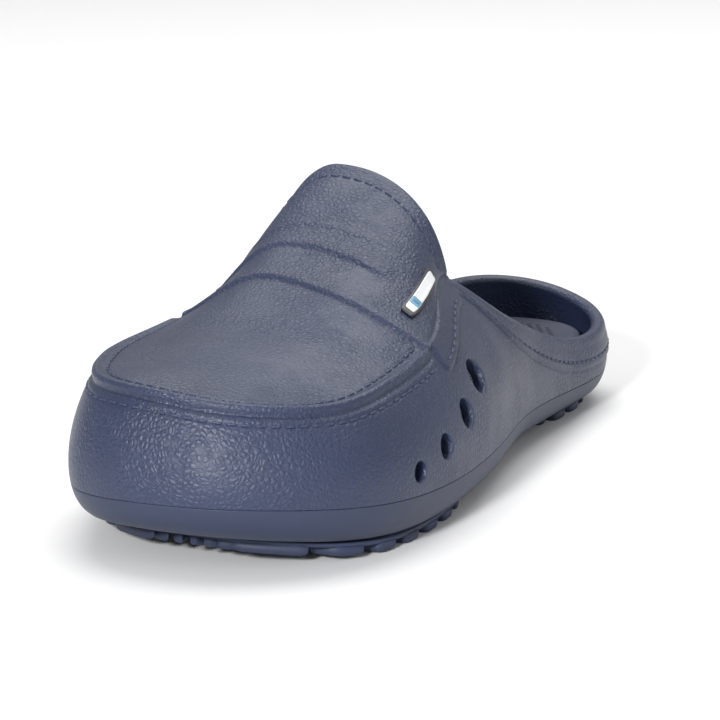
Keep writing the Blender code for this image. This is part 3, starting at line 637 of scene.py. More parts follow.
class Shell:
    """Skin of the upper: wall rows run down from the rim or seam, vamp rows up from the seam to the crest."""

    def __init__(self, shape):
        self.shape = shape
        self.lip = shape.lip
        self.extra, self.faces = [], []
        notch_y = NOTCH * LENGTH - self.lip
        front_y = np.linspace(TOE_CENTRE * LENGTH, notch_y, FRONT_COLUMNS)
        rear_y = np.linspace(notch_y, HEEL_CENTRE * LENGTH, REAR_COLUMNS + 1)[1:]
        rows = clog_rows(front_y, rear_y, TOE_COLUMNS, HEEL_COLUMNS)
        self.front = slice(REAR_COLUMNS, REAR_COLUMNS + 2 * FRONT_COLUMNS + TOE_COLUMNS)

        ring = Ring(rows)
        lines = ring.wall_line(ring.angle_at(ring.joint_z))[:, ::-1]
        begin = self.lip * ease((ring.out[:, 1] - notch_y) / (6 * MM))
        total = lengths_along(lines)[:, -1] - begin - JOINT_EDGE
        self.down = begin[:, None] + graded(FINE_WALL_ROWS, COARSE_WALL_ROWS, total)
        self.wall = resampled(lines, self.down)

        lines = Ring(rows[self.front]).vamp_line()
        self.up = graded(FINE_VAMP_ROWS, COARSE_VAMP_ROWS, lengths_along(lines)[:, -1])
        self.vamp = resampled(lines, self.up)
        self.number()
        self.normals = vertex_normals(self.base, self.quads)
        self.outer = self.base + self.normals * self.relief()[:, None]
        self.inner = self.base - self.soft_normals() * WALL
        self.count = len(self.base)
        self.keep = np.ones(len(self.quads), bool)

    def number(self):
        """Numbers the points and joins them with faces."""
        count, rows = self.down.shape
        fronts, steps = self.up.shape
        self.wall_ids = np.arange(count * rows).reshape(count, rows)
        first = count * rows
        self.vamp_ids = np.empty((fronts, steps), int)
        self.vamp_ids[:, 0] = self.wall_ids[self.front, 0]
        self.vamp_ids[:, 1:-1] = first + np.arange(fronts * (steps - 2)).reshape(fronts, steps - 2)
        along = np.arange(FRONT_COLUMNS)
        crest = np.concatenate([along[::-1], np.zeros(TOE_COLUMNS, int), along])
        self.vamp_ids[:, -1] = first + fronts * (steps - 2) + crest
        ridge = self.vamp[-FRONT_COLUMNS:, -1]
        self.base = np.concatenate([self.wall.reshape(-1, 3), self.vamp[:, 1:-1].reshape(-1, 3), ridge])
        here, following = self.wall_ids, np.roll(self.wall_ids, -1, 0)
        wall = np.stack([here[:, :-1], following[:, :-1], following[:, 1:], here[:, 1:]], -1)
        here, following = self.vamp_ids[:-1], self.vamp_ids[1:]
        vamp = np.stack([here[:, 1:], following[:, 1:], following[:, :-1], here[:, :-1]], -1)
        self.quads = np.concatenate([wall.reshape(-1, 4), vamp.reshape(-1, 4)])

    def relief(self):
        height = np.zeros(len(self.base))
        steps = np.linalg.norm(np.diff(self.vamp, axis=0), axis=2)
        from_outer = np.concatenate([np.zeros((1, steps.shape[1])), np.cumsum(steps, 0)])
        edge_gap = np.minimum(from_outer, from_outer[-1] - from_outer)
        height[self.vamp_ids] = vamp_relief(self.shape, self.vamp, self.up, edge_gap)
        height[self.wall_ids] = wall_relief(self.shape, self.wall, self.down)
        return height

    def soft_normals(self):
        """Normals averaged along each column, so that the inner skin doesn't fold at a crease."""
        soft = self.normals.copy()
        for column in range(len(self.wall_ids)):
            ids = self.wall_ids[column, ::-1]
            place = column - self.front.start
            if 0 <= place < len(self.vamp_ids):
                ids = np.concatenate([ids, self.vamp_ids[place, 1:-1]])
            steps = np.linalg.norm(np.diff(self.base[ids], axis=0), axis=1)
            along = np.concatenate([[0], np.cumsum(steps)])
            means = (self.normals[ids][1:] + self.normals[ids][:-1]) / 2
            total = np.concatenate([np.zeros((1, 3)), np.cumsum(means * steps[:, None], axis=0)])
            low = np.maximum(along - NORMAL_REACH, 0)
            high = np.minimum(along + NORMAL_REACH, along[-1])
            for axis in range(3):
                above, below = (np.interp(reach, along, total[:, axis]) for reach in (high, low))
                soft[ids, axis] = above - below
        return unit(soft)

    def add_points(self, points):
        start = 2 * self.count + sum(len(p) for p in self.extra)
        self.extra.append(points)
        return start + np.arange(len(points))

    def bridge(self, loops):
        """Joins closed loops of the same number of points, each to the next."""
        for here, following in zip(loops, loops[1:]):
            ahead, beyond = np.roll(here, -1), np.roll(following, -1)
            self.faces.append(np.stack([here, ahead, beyond, following], -1))

    def open_vent(self, side, diameter, along, height):
        """Cuts one round vent through both skins and lines it with a wall that has rounded edges."""
        y = along * LENGTH
        rim = self.wall[:, 0]
        columns = np.where((np.sign(rim[:, 0]) == side) & (np.abs(rim[:, 1] - y) < VENT_SEARCH))[0]
        nearest = columns[np.argmin(np.abs(self.wall[columns, 0, 1] - y))]
        row = int(np.argmin(np.abs(self.wall[nearest, :, 2] - height)))
        centre_id = self.wall_ids[nearest, row]
        section = self.wall[nearest]
        centre = np.array([np.interp(height, section[::-1, 2], section[::-1, axis]) for axis in range(3)])
        centre[1] = y
        axis = self.normals[centre_id]
        first = unit(np.cross(axis, [0, 0, 1.0]))
        second = np.cross(axis, first)
        offset = self.base - centre
        u, v, lift = offset @ first, offset @ second, offset @ axis
        radius = diameter / 2 + VENT_EDGE
        near = (np.hypot(u, v) < 2 * radius) & (np.abs(lift) < radius)
        fit = np.linalg.lstsq(surface_terms(u[near], v[near]), lift[near], rcond=None)[0]
        middle = np.stack([u, v], 1)[self.quads].mean(1)
        inside = near[self.quads].all(1) & (np.linalg.norm(middle, axis=1) < radius) & self.keep
        self.keep &= ~inside
        loop = boundary_loop(self.quads[inside])
        angles = np.unwrap(np.arctan2(v[loop], u[loop]))
        turn = np.sign(angles[-1] - angles[0])
        ring = np.concatenate([angles - turn * 2 * math.pi, angles, angles + turn * 2 * math.pi])
        smooth = np.convolve(ring, np.ones(5) / 5, mode="same")[len(loop) : 2 * len(loop)]
        across, up = radius * np.cos(smooth), radius * np.sin(smooth)
        lift = surface_terms(across, up) @ fit
        slope_u = fit[1] + 2 * fit[3] * across + fit[4] * up
        slope_v = fit[2] + 2 * fit[5] * up + fit[4] * across
        skin = centre + across[:, None] * first + up[:, None] * second + lift[:, None] * axis
        normal = unit(axis - slope_u[:, None] * first - slope_v[:, None] * second)
        self.outer[loop] = skin
        self.inner[loop] = skin - normal * WALL
        towards = -unit(across[:, None] * first + up[:, None] * second)
        loops = [loop]
        for turn in np.linspace(0, math.pi / 2, EDGE_RINGS + 1)[1:]:
            ring = skin + towards * VENT_EDGE * math.sin(turn) - normal * VENT_EDGE * (1 - math.cos(turn))
            loops.append(self.add_points(ring))
        for turn in np.linspace(math.pi / 2, 0, EDGE_RINGS + 1)[:-1]:
            depth = WALL - VENT_EDGE * (1 - math.cos(turn))
            loops.append(self.add_points(skin + towards * VENT_EDGE * math.sin(turn) - normal * depth))
        self.bridge([*loops, loop + self.count])

    def rim_loop(self):
        """Points of the free edge once round: collar rim, up and over the tongue's edge, and the heel."""
        outer_end, inner_end = self.front.start, self.front.stop - 1
        return np.concatenate([
            self.wall_ids[:outer_end, 0], self.vamp_ids[0], self.vamp_ids[-1, -2::-1],
            self.wall_ids[inner_end + 1 :, 0],
        ])

    def close_rim(self):
        """Rounded lip between the two skins along the rim."""
        loop = self.rim_loop()
        outer, inner = self.outer[loop], self.inner[loop]
        tangent = unit(np.roll(outer, -1, 0) - np.roll(outer, 1, 0))
        away = unit(np.cross(tangent, outer - inner))
        away *= np.sign(away[:1, 2:])
        for _ in range(6):
            away = unit(np.roll(away, 1, 0) + away * 2 + np.roll(away, -1, 0))
        middle, half = (outer + inner) / 2, (outer - inner) / 2
        loops = [loop]
        for turn in np.linspace(0, math.pi, LIP_RINGS + 1)[1:-1]:
            loops.append(self.add_points(middle + half * math.cos(turn) + away * self.lip * math.sin(turn)))
        self.bridge([*loops, loop + self.count])

    def close_joint(self):
        """Flat lower edge with a small rounding, over the step of the sole."""
        loop = self.wall_ids[:, -1]
        outer, inner = self.outer[loop], self.inner[loop]
        down = unit(outer - self.outer[self.wall_ids[:, -2]])
        inward = unit(inner - outer)
        loops = [loop]
        for turn in np.linspace(0, math.pi / 2, EDGE_RINGS + 1)[1:]:
            sink, back = JOINT_EDGE * math.sin(turn), JOINT_EDGE * (1 - math.cos(turn))
            loops.append(self.add_points(outer + down * sink + inward * back))
        loops.append(self.add_points(inner + down * JOINT_EDGE))
        self.bridge([*loops, loop + self.count])

    def mesh(self):
        quads = self.quads[self.keep]
        points = np.concatenate([self.outer, self.inner, *self.extra])
        faces = np.concatenate([quads, quads[:, ::-1] + self.count, *self.faces])
        return points, faces


def surface_terms(u, v):
    """Terms of a curved patch of the second degree."""
    return np.stack([np.ones(len(u)), u, v, u**2, u * v, v**2], 1)


def boundary_loop(quads):
    """Ordered points round a patch of faces."""
    following = {}
    edges = set()
    for quad in quads.tolist():
        for a, b in zip(quad, quad[1:] + quad[:1]):
            edges.add((a, b))
    for a, b in edges:
        if (b, a) not in edges:
            following[a] = b
    loop = [next(iter(following))]
    while following[loop[-1]] != loop[0]:
        loop.append(following[loop[-1]])
    return np.array(loop)


# ---------------------------------------------------------------- mesh helpers


def mesh_object(name, points, faces, material):
    """Smooth-shaded object from points and faces; a face that names a point twice becomes a triangle."""
    faces = [tuple(dict.fromkeys(face)) for face in np.asarray(faces).tolist()]
    data = bpy.data.meshes.new(name)
    data.from_pydata(np.asarray(points).tolist(), [], [face for face in faces if len(face) > 2])
    mesh = bmesh.new()
    mesh.from_mesh(data)
    bmesh.ops.delete(mesh, geom=[v for v in mesh.verts if not v.link_faces], context="VERTS")
    bmesh.ops.remove_doubles(mesh, verts=mesh.verts, dist=MERGE_DISTANCE)
    bmesh.ops.recalc_face_normals(mesh, faces=mesh.faces)
    mesh.to_mesh(data)
    mesh.free()
    data.shade_smooth()
    data.materials.append(material)
    thing = bpy.data.objects.new(name, data)
    bpy.context.scene.collection.objects.link(thing)
    return thing


def ring_object(name, columns, material):
    """Closed body from columns of points in a ring, whose first and last points meet in the middle."""
    count, rows = columns.shape[:2]
    ids = np.arange(count * rows).reshape(count, rows)
    following = np.roll(ids, -1, 0)
    quads = np.stack([ids[:, :-1], following[:, :-1], following[:, 1:], ids[:, 1:]], -1)
    return mesh_object(name, columns.reshape(-1, 3), quads.reshape(-1, 4), material)


class Pieces:
    """Many small closed shapes gathered into one mesh."""

    def __init__(self):
        self.points, self.faces, self.count = [], [], 0

    def add_loops(self, loops):
        """Shape from loops of points, one inside the next, closed at both ends with a point in the middle."""
        size = len(loops[0])
        ends = [np.mean(loops[0], axis=0)[None], np.mean(loops[-1], axis=0)[None]]
        start = self.count
        self.points += [*loops, *ends]
        self.count += size * len(loops) + 2
        along = np.arange(size)
        ahead = np.roll(along, -1)
        for row in range(len(loops) - 1):
            low, high = start + row * size, start + (row + 1) * size
            self.faces.append(np.stack([low + along, low + ahead, high + ahead, high + along], -1))
        first, last = self.count - 2, self.count - 1
        high = start + (len(loops) - 1) * size
        self.faces.append(np.stack([np.full(size, first), start + ahead, start + along, start + along], -1))
        self.faces.append(np.stack([np.full(size, last), high + along, high + ahead, high + ahead], -1))

    def object(self, name, material):
        return mesh_object(name, np.concatenate(self.points), np.concatenate(self.faces), material)


def place_piece(thing, slot, *nodes, body=BODY):
    """Puts a piece on its body and hides the frame nodes that it stands for; the finish slot is not used."""
    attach(thing, body)
    if nodes:
        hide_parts(*nodes)
    return thing


# ---------------------------------------------------------------- finishes


def add_node(tree, kind, inputs=None, **settings):
    """New node with its settings; an input is a value, or a socket to link from."""
    made = tree.nodes.new(kind)
    for name, value in settings.items():
        setattr(made, name, value)
    for socket, value in (inputs or {}).items():
        if isinstance(value, bpy.types.NodeSocket):
            tree.links.new(value, made.inputs[socket])
        else:
            made.inputs[socket].default_value = value
    return made


def add_math(tree, operation, first, second=0.0):
    return add_node(tree, "ShaderNodeMath", {0: first, 1: second}, operation=operation).outputs[0]


def add_range(tree, value, low, high, to_low=0.0, to_high=1.0):
    inputs = {"Value": value, "From Min": low, "From Max": high, "To Min": to_low, "To Max": to_high}
    return add_node(tree, "ShaderNodeMapRange", inputs, interpolation_type="SMOOTHSTEP").outputs[0]


def add_mix(tree, factor, first, second):
    inputs = {"Factor": factor, "A": first, "B": second}
    return add_node(tree, "ShaderNodeMix", inputs, data_type="RGBA").outputs["Result"]


def new_group(name, inputs, outputs):
    """Empty shader node group with number sockets; gives the group and its two end nodes."""
    tree = bpy.data.node_groups.new(name, "ShaderNodeTree")
    for socket, default in inputs.items():
        made = tree.interface.new_socket(name=socket, in_out="INPUT", socket_type="NodeSocketFloat")
        made.default_value = default
    for socket in outputs:
        tree.interface.new_socket(name=socket, in_out="OUTPUT", socket_type="NodeSocketFloat")
    return tree, tree.nodes.new("NodeGroupInput"), tree.nodes.new("NodeGroupOutput")


def leather_grain():
    """Pebbled leather grain pressed by the mould: rounded cells with creases between them. The foam material
    uses the Crease output to darken the colour in the creases as painted shade.
    """
    if "Leather grain" in bpy.data.node_groups:
        return bpy.data.node_groups["Leather grain"]
    tree, given, made = new_group("Leather grain", {"Cells per metre": 700.0}, ["Height", "Crease"])
    place = add_node(tree, "ShaderNodeTexCoord").outputs["Object"]
    warp = add_node(tree, "ShaderNodeTexNoise", {"Vector": place, "Scale": 260.0, "Detail": 2.0})
    inputs = {0: warp.outputs["Color"], "Scale": 1.6 * MM}
    shift = add_node(tree, "ShaderNodeVectorMath", inputs, operation="SCALE")
    bent = add_node(tree, "ShaderNodeVectorMath", {0: place, 1: shift.outputs[0]}, operation="ADD").outputs[0]
    inputs = {"Vector": bent, "Scale": given.outputs["Cells per metre"], "Randomness": 0.9}
    cells = add_node(tree, "ShaderNodeTexVoronoi", inputs, feature="DISTANCE_TO_EDGE")
    pebble = add_range(tree, cells.outputs["Distance"], -0.12, 0.42)
    patch = add_node(tree, "ShaderNodeTexNoise", {"Vector": place, "Scale": 45.0, "Detail": 3.0})
    depth = add_range(tree, patch.outputs[0], 0.35, 0.62, 0.45, 1.0)
    pores = add_node(tree, "ShaderNodeTexNoise", {"Vector": place, "Scale": 2400.0, "Detail": 2.0})
    raised = add_math(tree, "MULTIPLY", pebble, depth)
    fine = add_math(tree, "MULTIPLY", pores.outputs[0], 0.35)
    tree.links.new(add_math(tree, "ADD", raised, fine), made.inputs["Height"])
    crease = add_math(tree, "SUBTRACT", 1.0, pebble)
    tree.links.new(add_math(tree, "MULTIPLY", crease, depth), made.inputs["Crease"])
    return tree


def foam_speckle():
    """Fine speckle of moulded foam: small pits and grains."""
    if "Foam speckle" in bpy.data.node_groups:
        return bpy.data.node_groups["Foam speckle"]
    tree, given, made = new_group("Foam speckle", {"Grains per metre": 1500.0}, ["Height", "Tone"])
    place = add_node(tree, "ShaderNodeTexCoord").outputs["Object"]
    inputs = {"Vector": place, "Scale": given.outputs["Grains per metre"], "Detail": 3.0, "Roughness": 0.65}
    grains = add_node(tree, "ShaderNodeTexNoise", inputs).outputs[0]
    inputs = {"Vector": place, "Scale": given.outputs["Grains per metre"]}
    pits = add_node(tree, "ShaderNodeTexVoronoi", inputs)
    hollow = add_range(tree, pits.outputs["Distance"], 0.0, 0.35)
    height = add_math(tree, "MULTIPLY", hollow, 0.4)
    tree.links.new(add_math(tree, "ADD", grains, height), made.inputs["Height"])
    broad = add_node(tree, "ShaderNodeTexNoise", {"Vector": place, "Scale": 22.0, "Detail": 4.0}).outputs[0]
    soft = add_math(tree, "MULTIPLY", broad, 0.7)
    fine = add_math(tree, "MULTIPLY", grains, 0.3)
    tree.links.new(add_math(tree, "ADD", soft, fine), made.inputs["Tone"])
    return tree


def wear_and_dust():
    """Masks for rubbed edges and for fine dust that settles on what faces up."""
    if "Wear and dust" in bpy.data.node_groups:
        return bpy.data.node_groups["Wear and dust"]
    tree, given, made = new_group("Wear and dust", {"Wear": 0.5, "Dust": 0.2}, ["Wear", "Dust"])
    shape = add_node(tree, "ShaderNodeNewGeometry")
    place = add_node(tree, "ShaderNodeTexCoord").outputs["Object"]
    scuffs = add_node(tree, "ShaderNodeTexNoise", {"Vector": place, "Scale": 180.0, "Detail": 5.0}).outputs[0]
    edge = add_range(tree, shape.outputs["Pointiness"], 0.515, 0.60)
    rubbed = add_math(tree, "MULTIPLY", edge, add_range(tree, scuffs, 0.3, 0.6, 0.4, 1.0))
    tree.links.new(add_math(tree, "MULTIPLY", rubbed, given.outputs["Wear"]), made.inputs["Wear"])
    facing = add_node(tree, "ShaderNodeSeparateXYZ", {0: shape.outputs["Normal"]}).outputs["Z"]
    cloud = add_node(tree, "ShaderNodeTexNoise", {"Vector": place, "Scale": 70.0, "Detail": 6.0}).outputs[0]
    settled = add_math(tree, "MULTIPLY", add_range(tree, facing, 0.2, 1.0), add_range(tree, cloud, 0.35, 0.7))
    tree.links.new(add_math(tree, "MULTIPLY", settled, given.outputs["Dust"]), made.inputs["Dust"])
    return tree


def use_group(tree, group, values):
    """Places a group in a material with its own values."""
    made = add_node(tree, "ShaderNodeGroup", node_tree=group)
    for socket, value in values.items():
        made.inputs[socket].default_value = value
    return made


def tone(colour, factor):
    return (*(min(1.0, channel * factor) for channel in colour), 1)


def foam_material(name, colour, cells=0):
    """Moulded foam rubber of the FOAMS table; cells is the leather grain per metre, or 0 for none."""
    grains, roughness, depth, wear, dust = FOAMS[name]
    if name in bpy.data.materials:
        return bpy.data.materials[name]
    material = bpy.data.materials.new(name)
    material.use_nodes = True
    tree = material.node_tree
    shader = tree.nodes["Principled BSDF"]
    speckle = use_group(tree, foam_speckle(), {"Grains per metre": grains})
    masks = use_group(tree, wear_and_dust(), {"Wear": wear, "Dust": dust})
    variety = add_range(tree, speckle.outputs["Tone"], 0.35, 0.65)
    base = add_mix(tree, variety, tone(colour, 0.86), tone(colour, 1.14))
    height = speckle.outputs["Height"]
    rough = add_range(tree, speckle.outputs["Tone"], 0.3, 0.7, roughness - 0.06, roughness + 0.06)
    if cells:
        grain = use_group(tree, leather_grain(), {"Cells per metre": cells})
        height = add_math(tree, "ADD", grain.outputs["Height"], add_math(tree, "MULTIPLY", height, 0.25))
        # Painted shade: the grain's creases darken the colour towards a darker tone of the foam; the same
        # crease mask also adds roughness.
        crease = add_math(tree, "MULTIPLY", grain.outputs["Crease"], 0.35)
        base = add_mix(tree, crease, base, tone(colour, 0.62))
        rough = add_math(tree, "ADD", rough, add_math(tree, "MULTIPLY", grain.outputs["Crease"], 0.12))
    base = add_mix(tree, masks.outputs["Wear"], base, tone(colour, 1.9))
    base = add_mix(tree, masks.outputs["Dust"], base, DUST_COLOUR)
    rough = add_math(tree, "ADD", rough, add_math(tree, "MULTIPLY", masks.outputs["Dust"], 0.3))
    relief = add_node(tree, "ShaderNodeBump", {"Height": height, "Distance": depth, "Strength": 1.0})
    tree.links.new(base, shader.inputs["Base Color"])
    tree.links.new(rough, shader.inputs["Roughness"])
    tree.links.new(relief.outputs["Normal"], shader.inputs["Normal"])
    return material


def plastic_material(name, colour):
    """Smooth plastic of the badge with faint scuffs."""
    roughness = PLASTICS[name]
    if name in bpy.data.materials:
        return bpy.data.materials[name]
    material = bpy.data.materials.new(name)
    material.use_nodes = True
    tree = material.node_tree
    shader = tree.nodes["Principled BSDF"]
    speckle = use_group(tree, foam_speckle(), {"Grains per metre": 900.0})
    masks = use_group(tree, wear_and_dust(), {"Wear": 0.25, "Dust": 0.15})
    base = add_mix(tree, speckle.outputs["Tone"], tone(colour, 0.92), tone(colour, 1.0))
    base = add_mix(tree, masks.outputs["Dust"], base, DUST_COLOUR)
    rough = add_range(tree, speckle.outputs["Tone"], 0.3, 0.7, roughness - 0.05, roughness + 0.08)
    inputs = {"Height": speckle.outputs["Height"], "Distance": 0.01 * MM, "Strength": 1.0}
    relief = add_node(tree, "ShaderNodeBump", inputs)
    tree.links.new(base, shader.inputs["Base Color"])
    tree.links.new(rough, shader.inputs["Roughness"])
    tree.links.new(relief.outputs["Normal"], shader.inputs["Normal"])
    return material


def upper_material():
    finish = bpy.context.scene.clog_finish
    cells = 1 / finish.grain_size
    return foam_material("moulded_upper", finish.upper_colour, cells)


# ---------------------------------------------------------------- pieces


SHELLS = {}


def shell():
    """The upper's shell, worked out once for the pieces that lie on it."""
    if not SHELLS:
        SHELLS["upper"] = Shell(bpy.context.scene.clog_shape)
    return SHELLS["upper"]


def make_upper():
    """Upper in one moulding: toe wall, sides, vamp with strap and tongue, collar band and backstay."""
    skin = shell()
    for side in (1, -1):
        for diameter, along, height in zip(VENT_DIAMETERS, VENT_ALONG, VENT_HEIGHTS):
            skin.open_vent(side, diameter, along, height)
    skin.close_rim()
    skin.close_joint()
    place_piece(mesh_object("upper_moulding", *skin.mesh(), upper_material()), "upper_foam", "upper")


def on_columns(skin, ids, depths, wanted):
    """Surface points and normals at a wanted depth down each column of point numbers."""
    points, normals = np.empty((len(ids), 3)), np.empty((len(ids), 3))
    for i, (column, depth, at) in enumerate(zip(ids, depths, wanted)):
        for axis in range(3):
            points[i, axis] = np.interp(at, depth, skin.outer[column, axis])
            normals[i, axis] = np.interp(at, depth, skin.normals[column, axis])
    return points, normals


def stitch_lines(skin, shape):
    """Lines on the upper that carry moulded stitches, as points and normals."""
    wall_y, count = skin.wall[:, 0, 1], len(skin.wall)
    seam = skin.vamp[:, 0]
    before_strap = seam[:, 1] < smooth_through(STRAP_FRONT, seam[:, 0] / MM) * MM - 3 * MM
    before_strap &= seam[:, 1] < STRAP_SEAM_Y - 3 * MM
    fronts = np.where(before_strap)[0]
    yield on_columns(skin, skin.vamp_ids[fronts], skin.up[fronts], np.full(len(fronts), VAMP_STITCH))

    walls = fronts + skin.front.start
    yield on_columns(skin, skin.wall_ids[walls], skin.down[walls], np.full(len(walls), WALL_STITCH))

    ring = np.concatenate([np.arange(count // 2, count), np.arange(count // 2)])
    collar = ring[wall_y[ring] > 1 * MM]
    down = band_width(shape, wall_y[collar]) - BAND_STITCH
    yield on_columns(skin, skin.wall_ids[collar], skin.down[collar], down)

    for side in (1, -1):
        beside = np.sign(skin.wall[:, 0, 0]) == side
        tab = np.where(beside & (wall_y > TAB_FRONT + TAB_CORNER) & (wall_y < -8 * MM))[0]
        down = np.full(len(tab), TAB_LOW - 2.2 * MM)
        yield on_columns(skin, skin.wall_ids[tab], skin.down[tab], down)

    outer = skin.outer[skin.vamp_ids]
    normals = skin.normals[skin.vamp_ids]
    halves = []
    for start in (slice(None, FRONT_COLUMNS), slice(None, -FRONT_COLUMNS - 1, -1)):
        points, directions = outer[start], normals[start]
        gap = lengths_along(np.swapaxes(points, 0, 1))
        rows = np.where(skin.up[0] > 3 * MM)[0]
        place = np.empty((len(rows), 6))
        for i, row in enumerate(rows):
            for axis in range(3):
                place[i, axis] = np.interp(TONGUE_STITCH, gap[row], points[:, row, axis])
                place[i, 3 + axis] = np.interp(TONGUE_STITCH, gap[row], directions[:, row, axis])
        halves.append(place)
    line = np.concatenate([halves[0], halves[1][-2::-1]])
    yield line[:, :3], line[:, 3:]


def make_stitching():
    """Moulded stitches, as small rounded bars laid end to end in their beds."""
    shape = bpy.context.scene.clog_shape
    skin = shell()
    pieces = Pieces()
    turns = np.linspace(0, 2 * math.pi, STITCH_SIDES, endpoint=False)
    for points, normals in stitch_lines(skin, shape):
        along = lengths_along(points[None])[0]
        pitch = shape.stitch_length + shape.stitch_gap
        count = int(along[-1] / pitch)
        for centre in (np.arange(count) + 0.5) * along[-1] / count:
            half = shape.stitch_length / 2
            ends = np.array([[np.interp(centre + reach, along, points[:, axis]) for axis in range(3)]
                             for reach in (-half, half)])
            up = unit(np.array([np.interp(centre, along, normals[:, axis]) for axis in range(3)]))
            ahead = unit(ends[1] - ends[0])
            side = np.cross(up, ahead)
            middle = ends.mean(0) + up * STITCH_LIFT
            loops = []
            for reach, size in STITCH_PROFILE:
                offset = np.outer(np.cos(turns), side) + np.outer(np.sin(turns), up)
                loops.append(middle + ahead * half * reach + offset * STITCH_RADIUS * size)
            pieces.add_loops(loops)
    place_piece(pieces.object("stitching", upper_material()), "upper_foam")


def body_ring(columns):
    """Sections for the lower pieces."""
    front = np.linspace(TOE_CENTRE * LENGTH, NOTCH * LENGTH, columns)
    rear = np.linspace(NOTCH * LENGTH, HEEL_CENTRE * LENGTH, columns + 1)[1:]
    return Ring(clog_rows(front, rear, int(columns * 1.3), columns))


def level(ring, edge, shares, height):
    """Points from the middle out to an edge, at a height that depends on the place along."""
    place = ring.middle[:, None] + (edge - ring.middle)[:, None] * shares[None, :, None]
    return np.concatenate([place, height(place[..., 1:])], -1)


def make_sole():
    """Sole unit with its rounded side wall, a softened upper edge, and the bed for the insole."""
    finish = bpy.context.scene.clog_finish
    ring = body_ring(SOLE_COLUMNS)
    top_z = ring.joint_z - JOINT_GAP
    joint = ring.angle_at(top_z)[:, None]
    foot = ring.low_wall(np.zeros((len(top_z), 1)))[:, 0]
    shares = np.linspace(0, 1, 15)
    base = level(ring, foot[:, :2], shares, under_height)
    base[..., 2] += FOOT_LIP * shares**3
    wall = ring.low_wall(joint * np.linspace(0, 1, 40)[None])
    total = lengths_along(wall)[:, -1]
    side = resampled(wall, (total - SOLE_EDGE)[:, None] * np.linspace(0, 1, 26)[None, 1:])
    corner = wall[:, -1]
    step_in = np.linalg.norm(ring.out - corner[:, :2], axis=1)
    t = np.linspace(0, 1, 5)[None, 1:, None]
    after = corner + np.concatenate([ring.inward, np.zeros((len(joint), 1))], 1) * SOLE_EDGE
    edge = (1 - t) ** 2 * side[:, -1:] + 2 * t * (1 - t) * corner[:, None] + t**2 * after[:, None]
    seat = (step_in + WALL + WALL_CLEARANCE)[:, None]
    ledge = ring.at(seat, top_z[:, None])
    inner = ring.at(seat + BED_WALL_LEAN, top_z[:, None])
    bed = level(ring, inner[:, 0, :2], np.linspace(1, 0, 12), bed_height)
    columns = np.concatenate([base, side, edge, ledge, bed], 1)
    material = foam_material("moulded_sole", finish.sole_colour)
    place_piece(ring_object("sole_unit", columns, material), "sole_foam", "sole")


def inside_outline(points, outline):
    """Which points lie inside a closed outline."""
    inside = np.zeros(len(points), bool)
    for a, b in zip(outline, np.roll(outline, -1, 0)):
        spans = (a[1] > points[:, 1]) != (b[1] > points[:, 1])
        crossing = a[0] + (points[:, 1] - a[1]) / (b[1] - a[1] + 1e-15) * (b[0] - a[0])
        inside ^= spans & (points[:, 0] < crossing)
    return inside


def make_insole():
    """Loose foam insole with a fuller rim and rows of small raised dots."""
    finish = bpy.context.scene.clog_finish
    ring = body_ring(INSOLE_COLUMNS)
    inset = WALL + WALL_CLEARANCE + INSOLE_CLEARANCE + INSOLE_RIM_SHARE * ring.rim_in
    edge = ring.out + ring.inward * inset[:, None]

    def under(y):
        return bed_height(y) + SEAT_GAP

    bottom = level(ring, edge, np.linspace(0, 1, 8)[:-1], under)
    depths = np.array([row[0] for row in INSOLE_RIM]) * MM
    rises = np.array([row[1] for row in INSOLE_RIM]) * INSOLE_THICKNESS
    place = edge[:, None] + ring.inward[:, None] * depths[None, :, None]
    side = np.concatenate([place, under(place[..., 1:]) + rises[None, :, None]], -1)
    inner = place[:, -1]
    top = level(ring, inner, np.linspace(1, 0, 22)[1:], lambda y: under(y) + INSOLE_THICKNESS)
    material = foam_material("moulded_insole", finish.insole_colour)
    insole = ring_object("insole_pad", np.concatenate([bottom, side, top], 1), material)

    dots = Pieces()
    turns = np.linspace(0, 2 * math.pi, 8, endpoint=False)
    circle = np.stack([np.cos(turns), np.sin(turns)], 1)
    across = np.arange(-0.5, 0.5, DOT_PITCH / LENGTH) * LENGTH
    along = np.arange(-0.5, 0.5, DOT_PITCH * math.sqrt(3) / 2 / LENGTH) * LENGTH
    grid = np.array([(x + (row % 2) * DOT_PITCH / 2, y) for row, y in enumerate(along) for x in across])
    for x, y in grid[inside_outline(grid, inner)]:
        z = under(y) + INSOLE_THICKNESS
        loops = []
        for size, rise in ((1.0, -0.15), (0.95, 0.35), (0.6, 0.85)):
            rim = np.array([x, y]) + circle * DOT_RADIUS * size
            loops.append(np.column_stack([rim, np.full(len(rim), z + DOT_RISE * rise)]))
        dots.add_loops(loops)
    raised = dots.object("insole_dots", material)
    place_piece(insole, "insole_foam", "insole", body=INSOLE_BODY)
    place_piece(raised, "insole_foam", body=INSOLE_BODY)


def tread_span(y, low, high):
    """Middle and half width of a tread pad at a place along."""
    end = np.abs(2 * (y - low) / (high - low) - 1) ** TREAD_END_SQUARENESS
    narrowing = np.sqrt(1 - TREAD_END_NARROWING * np.minimum(end, 1))
    right, left = side_rows(1, y)[..., 0], side_rows(-1, y)[..., 0]
    return (right + left) / 2, ((right - left) / 2 - TREAD_INSET) * narrowing


